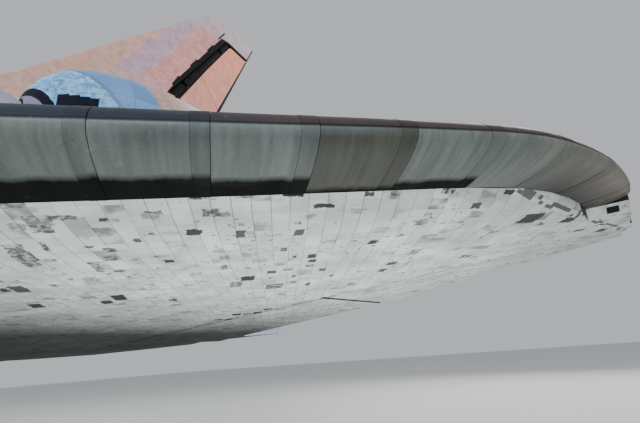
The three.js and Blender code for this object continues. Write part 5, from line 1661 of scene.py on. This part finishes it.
def wheels(y0, x0, radius, width, spread):
    z0 = GROUND_Z0 + radius
    rim, half = radius * RIM - 0.03, width * WHEEL_HALF
    rims, tyres = Shape(), []
    for sign in (1, -1):
        middle = y0 + sign * spread
        tyre = Shape()
        tyre.turned(tyre_profile(radius, width), (middle, x0, z0), (middle + 1, x0, z0), 0, 96, loop=True)
        tyres.append(tyre)
        outline = both_halves([(rim * r, -half * s) for r, s in WHEEL])
        rims.turned(outline, (middle, x0, z0), (middle + 1, x0, z0), 0, 96)
    rims.rod((y0 - spread, x0, z0), (y0 + spread, x0, z0), AXLE, 1, 32)
    return rims, tyres


def wheel_bolts(name, body, y0, x0, radius, width, spread):
    """Bolts around the web and the hub on both faces of both wheels."""
    rim, half, z0 = radius * RIM, width * WHEEL_HALF, GROUND_Z0 + radius
    marks = []
    for middle in (y0 - spread, y0 + spread):
        for face in (-1, 1):
            # columns: number of bolts, share of the rim's radius, share of the half width
            for count, reach, out in ((12, 0.56, 0.48), (6, 0.3, 0.89)):
                for k in range(count):
                    turn = 2 * math.pi * k / count
                    aft, up = rim * reach * math.cos(turn), rim * reach * math.sin(turn)
                    at = place(middle + face * half * out, x0 + aft, z0 + up)
                    marks.append((at, Vector((face, 0, 0))))
    put_bolts(steel_bolts, name, body, marks, radius * 0.028, radius * 0.03, "gear_metal")
    return len(marks)


print("points in a tyre's outline", len(tyre_profile(*MAIN_WHEELS[2:4])))

# %% [markdown]
# ## Landing gear
# The legs are polished pistons in painted cylinders, and a height tells the one from the other. Brake lines
# run down behind each main leg as two thin pipes. The doors are black tiles outside and primer inside.

# %% Gear
def leg_side(at, _):
    return 1 if 170 < at[2] < 205 else 0


def piston_side(at, _):
    return 1 if 190 < at[2] < 213 else 0


def door_face(at, normal):
    return 0 if normal.x * at[0] > 0 else 1


# columns: y0 beyond the leg's middle, x0, z0 of the points of a brake line
BRAKE_LINE = [(136, 1163, 164), (136, 1161.5, 176), (136, 1158, 204), (136, 1158, 296)]


def brake_lines(side, sign):
    """Two pipes side by side down a main leg."""
    points = [place(sign * (y0 + off), x0, z0) for off in (-2.2, 2.2) for y0, x0, z0 in BRAKE_LINE]
    count = len(BRAKE_LINE)
    edges = [(a + count * k, b + count * k) for k in range(2) for a, b in chain(count)]
    mesh = pipes.grow(f"brake_lines_{side}", points, edges, Radius=0.45 * INCH, Bend=2 * INCH)
    add_piece(f"brake_lines_{side}", mesh, "orbiter", [], slot="gear_metal")


counts = []
for side, sign in SIDES:
    body = f"main_wheels_{side}"
    axle = (MAIN_WHEELS[0] * sign, *MAIN_WHEELS[1:])
    rims, tyres = wheels(*axle)
    rims.piece(f"main_wheels_turned_{side}", body, [wheel_metal, bright_steel], [f"main_wheel_rims_{side}"])
    for tyre, where in zip(tyres, ("outer", "inner") if sign > 0 else ("inner", "outer")):
        tyre.piece(f"main_tyre_{where}_round_{side}", body, [rubber], [f"main_tyre_{where}_{side}"])
    counts.append(wheel_bolts(f"main_wheel_bolts_{side}", body, *axle))
    dress(f"main_gear_leg_{side}", [gear_paint, bright_steel], leg_side)
    dress(f"main_gear_door_{side}", [black_tiles, primer], door_face)
    dress(f"nose_gear_door_{side}", [black_tiles, primer], door_face)
    brake_lines(side, sign)
rims, tyres = wheels(*NOSE_WHEELS)
rims.piece("nose_wheels_turned", "nose_wheels", [wheel_metal, bright_steel], ["nose_wheel_rims"])
for tyre, side in zip(tyres, ("left", "right")):
    tyre.piece(f"nose_tyre_round_{side}", "nose_wheels", [rubber], [f"nose_tyre_{side}"])
counts.append(wheel_bolts("nose_wheel_bolts", "nose_wheels", *NOSE_WHEELS))
dress("nose_gear_leg", [gear_paint])
dress("nose_gear_piston", [gear_paint, bright_steel], piston_side)
print("wheel bolts", counts)

# %% [markdown]
# ## Camera
# The photograph looks up at the port wing from just below it, ahead of its tip and above head height, with
# a wide lens turned a little on its side. The view is built from a yaw, a pitch and a roll rather than from
# a target point, because the roll can then be read off the horizon by itself.

# %% Camera at the photograph's viewpoint
CAMERA = {"y0": 450.2, "x0": 1161.8, "z0": 249.9, "yaw": 31.21, "pitch": 18.24, "roll": -4.26}
LENS_PIXELS = 439.6
IMAGE_WIDTH = 640
yaw, pitch, roll = (math.radians(CAMERA[k]) for k in ("yaw", "pitch", "roll"))
forward = Vector((-math.sin(yaw) * math.cos(pitch), math.cos(yaw) * math.cos(pitch), math.sin(pitch)))
level = Vector((math.cos(yaw), math.sin(yaw), 0))
upright = level.cross(forward)
right = level * math.cos(roll) + upright * math.sin(roll)
up = upright * math.cos(roll) - level * math.sin(roll)
lens = bpy.data.cameras.new("camera")
lens.sensor_width = 36
lens.lens = LENS_PIXELS / IMAGE_WIDTH * lens.sensor_width
lens.clip_end = 500
camera = bpy.data.objects.new("camera", lens)
camera.matrix_world = Matrix((right, up, -forward)).transposed().to_4x4()
camera.location = place(CAMERA["y0"], CAMERA["x0"], CAMERA["z0"])
bpy.context.scene.collection.objects.link(camera)
bpy.context.scene.camera = camera
print("lens mm", round(lens.lens, 1), "camera", [round(c, 2) for c in camera.location])

# %% [markdown]
# ## Floor and light
# A plain pale floor and broad, soft lamps show the shape without a story of their own.

# %% Floor and lamps
def floor_paint():
    paint = Paint("pale_floor", roughness=0.75)
    return paint.finish(paint.blend(paint.noise(160, 2), tone(206, 206, 203), tone(210, 210, 208)))


FLOOR_HALF = 200
floor_mesh = bpy.data.meshes.new("floor")
corners = [(a * FLOOR_HALF, b * FLOOR_HALF, 0) for a, b in ((-1, -1), (1, -1), (1, 1), (-1, 1))]
floor_mesh.from_pydata(corners, [], [(0, 1, 2, 3)])
floor = bpy.data.objects.new("floor", floor_mesh)
floor_mesh.materials.append(floor_paint())
bpy.context.scene.collection.objects.link(floor)
floor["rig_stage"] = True

world = bpy.data.worlds.new("studio")
bpy.context.scene.world = world
world.use_nodes = True
background = world.node_tree.nodes["Background"]
background.inputs["Color"].default_value = (0.74, 0.77, 0.82, 1)
background.inputs["Strength"].default_value = 0.72


def lamp(name, position, target, size, power, colour=(1, 1, 1)):
    """A square soft lamp that lights the craft without showing itself."""
    light = bpy.data.lights.new(name, "AREA")
    light.size = size
    light.energy = power
    light.color = colour
    holder = bpy.data.objects.new(name, light)
    holder.location = position
    holder.rotation_euler = (Vector(target) - Vector(position)).to_track_quat("-Z", "Y").to_euler()
    holder.visible_camera = False
    bpy.context.scene.collection.objects.link(holder)


lamp("key", (30, -34, 30), (0, 0, 4), 22, 20500, (1, 0.98, 0.95))
lamp("fill", (-34, -20, 22), (0, 0, 4), 24, 12500, (0.93, 0.96, 1))
lamp("rear", (10, 44, 26), (0, 4, 6), 22, 11000)
lamp("low", (8.6, 8.6, 0.05), (8.6, 8.6, 9), 5, 150, (0.94, 0.99, 1))
print("lamps", len(bpy.data.lights))

# %% [markdown] ## The two boxes The imported model's box and the dressed model's box are printed side by
# side, so that a change in the craft's size shows.

# %% The two boxes
boxes = {"cad": cad_box, "visual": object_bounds()}
size = {name: [list(map(float, corner)) for corner in box] for name, box in boxes.items()}
print("boxes", size)
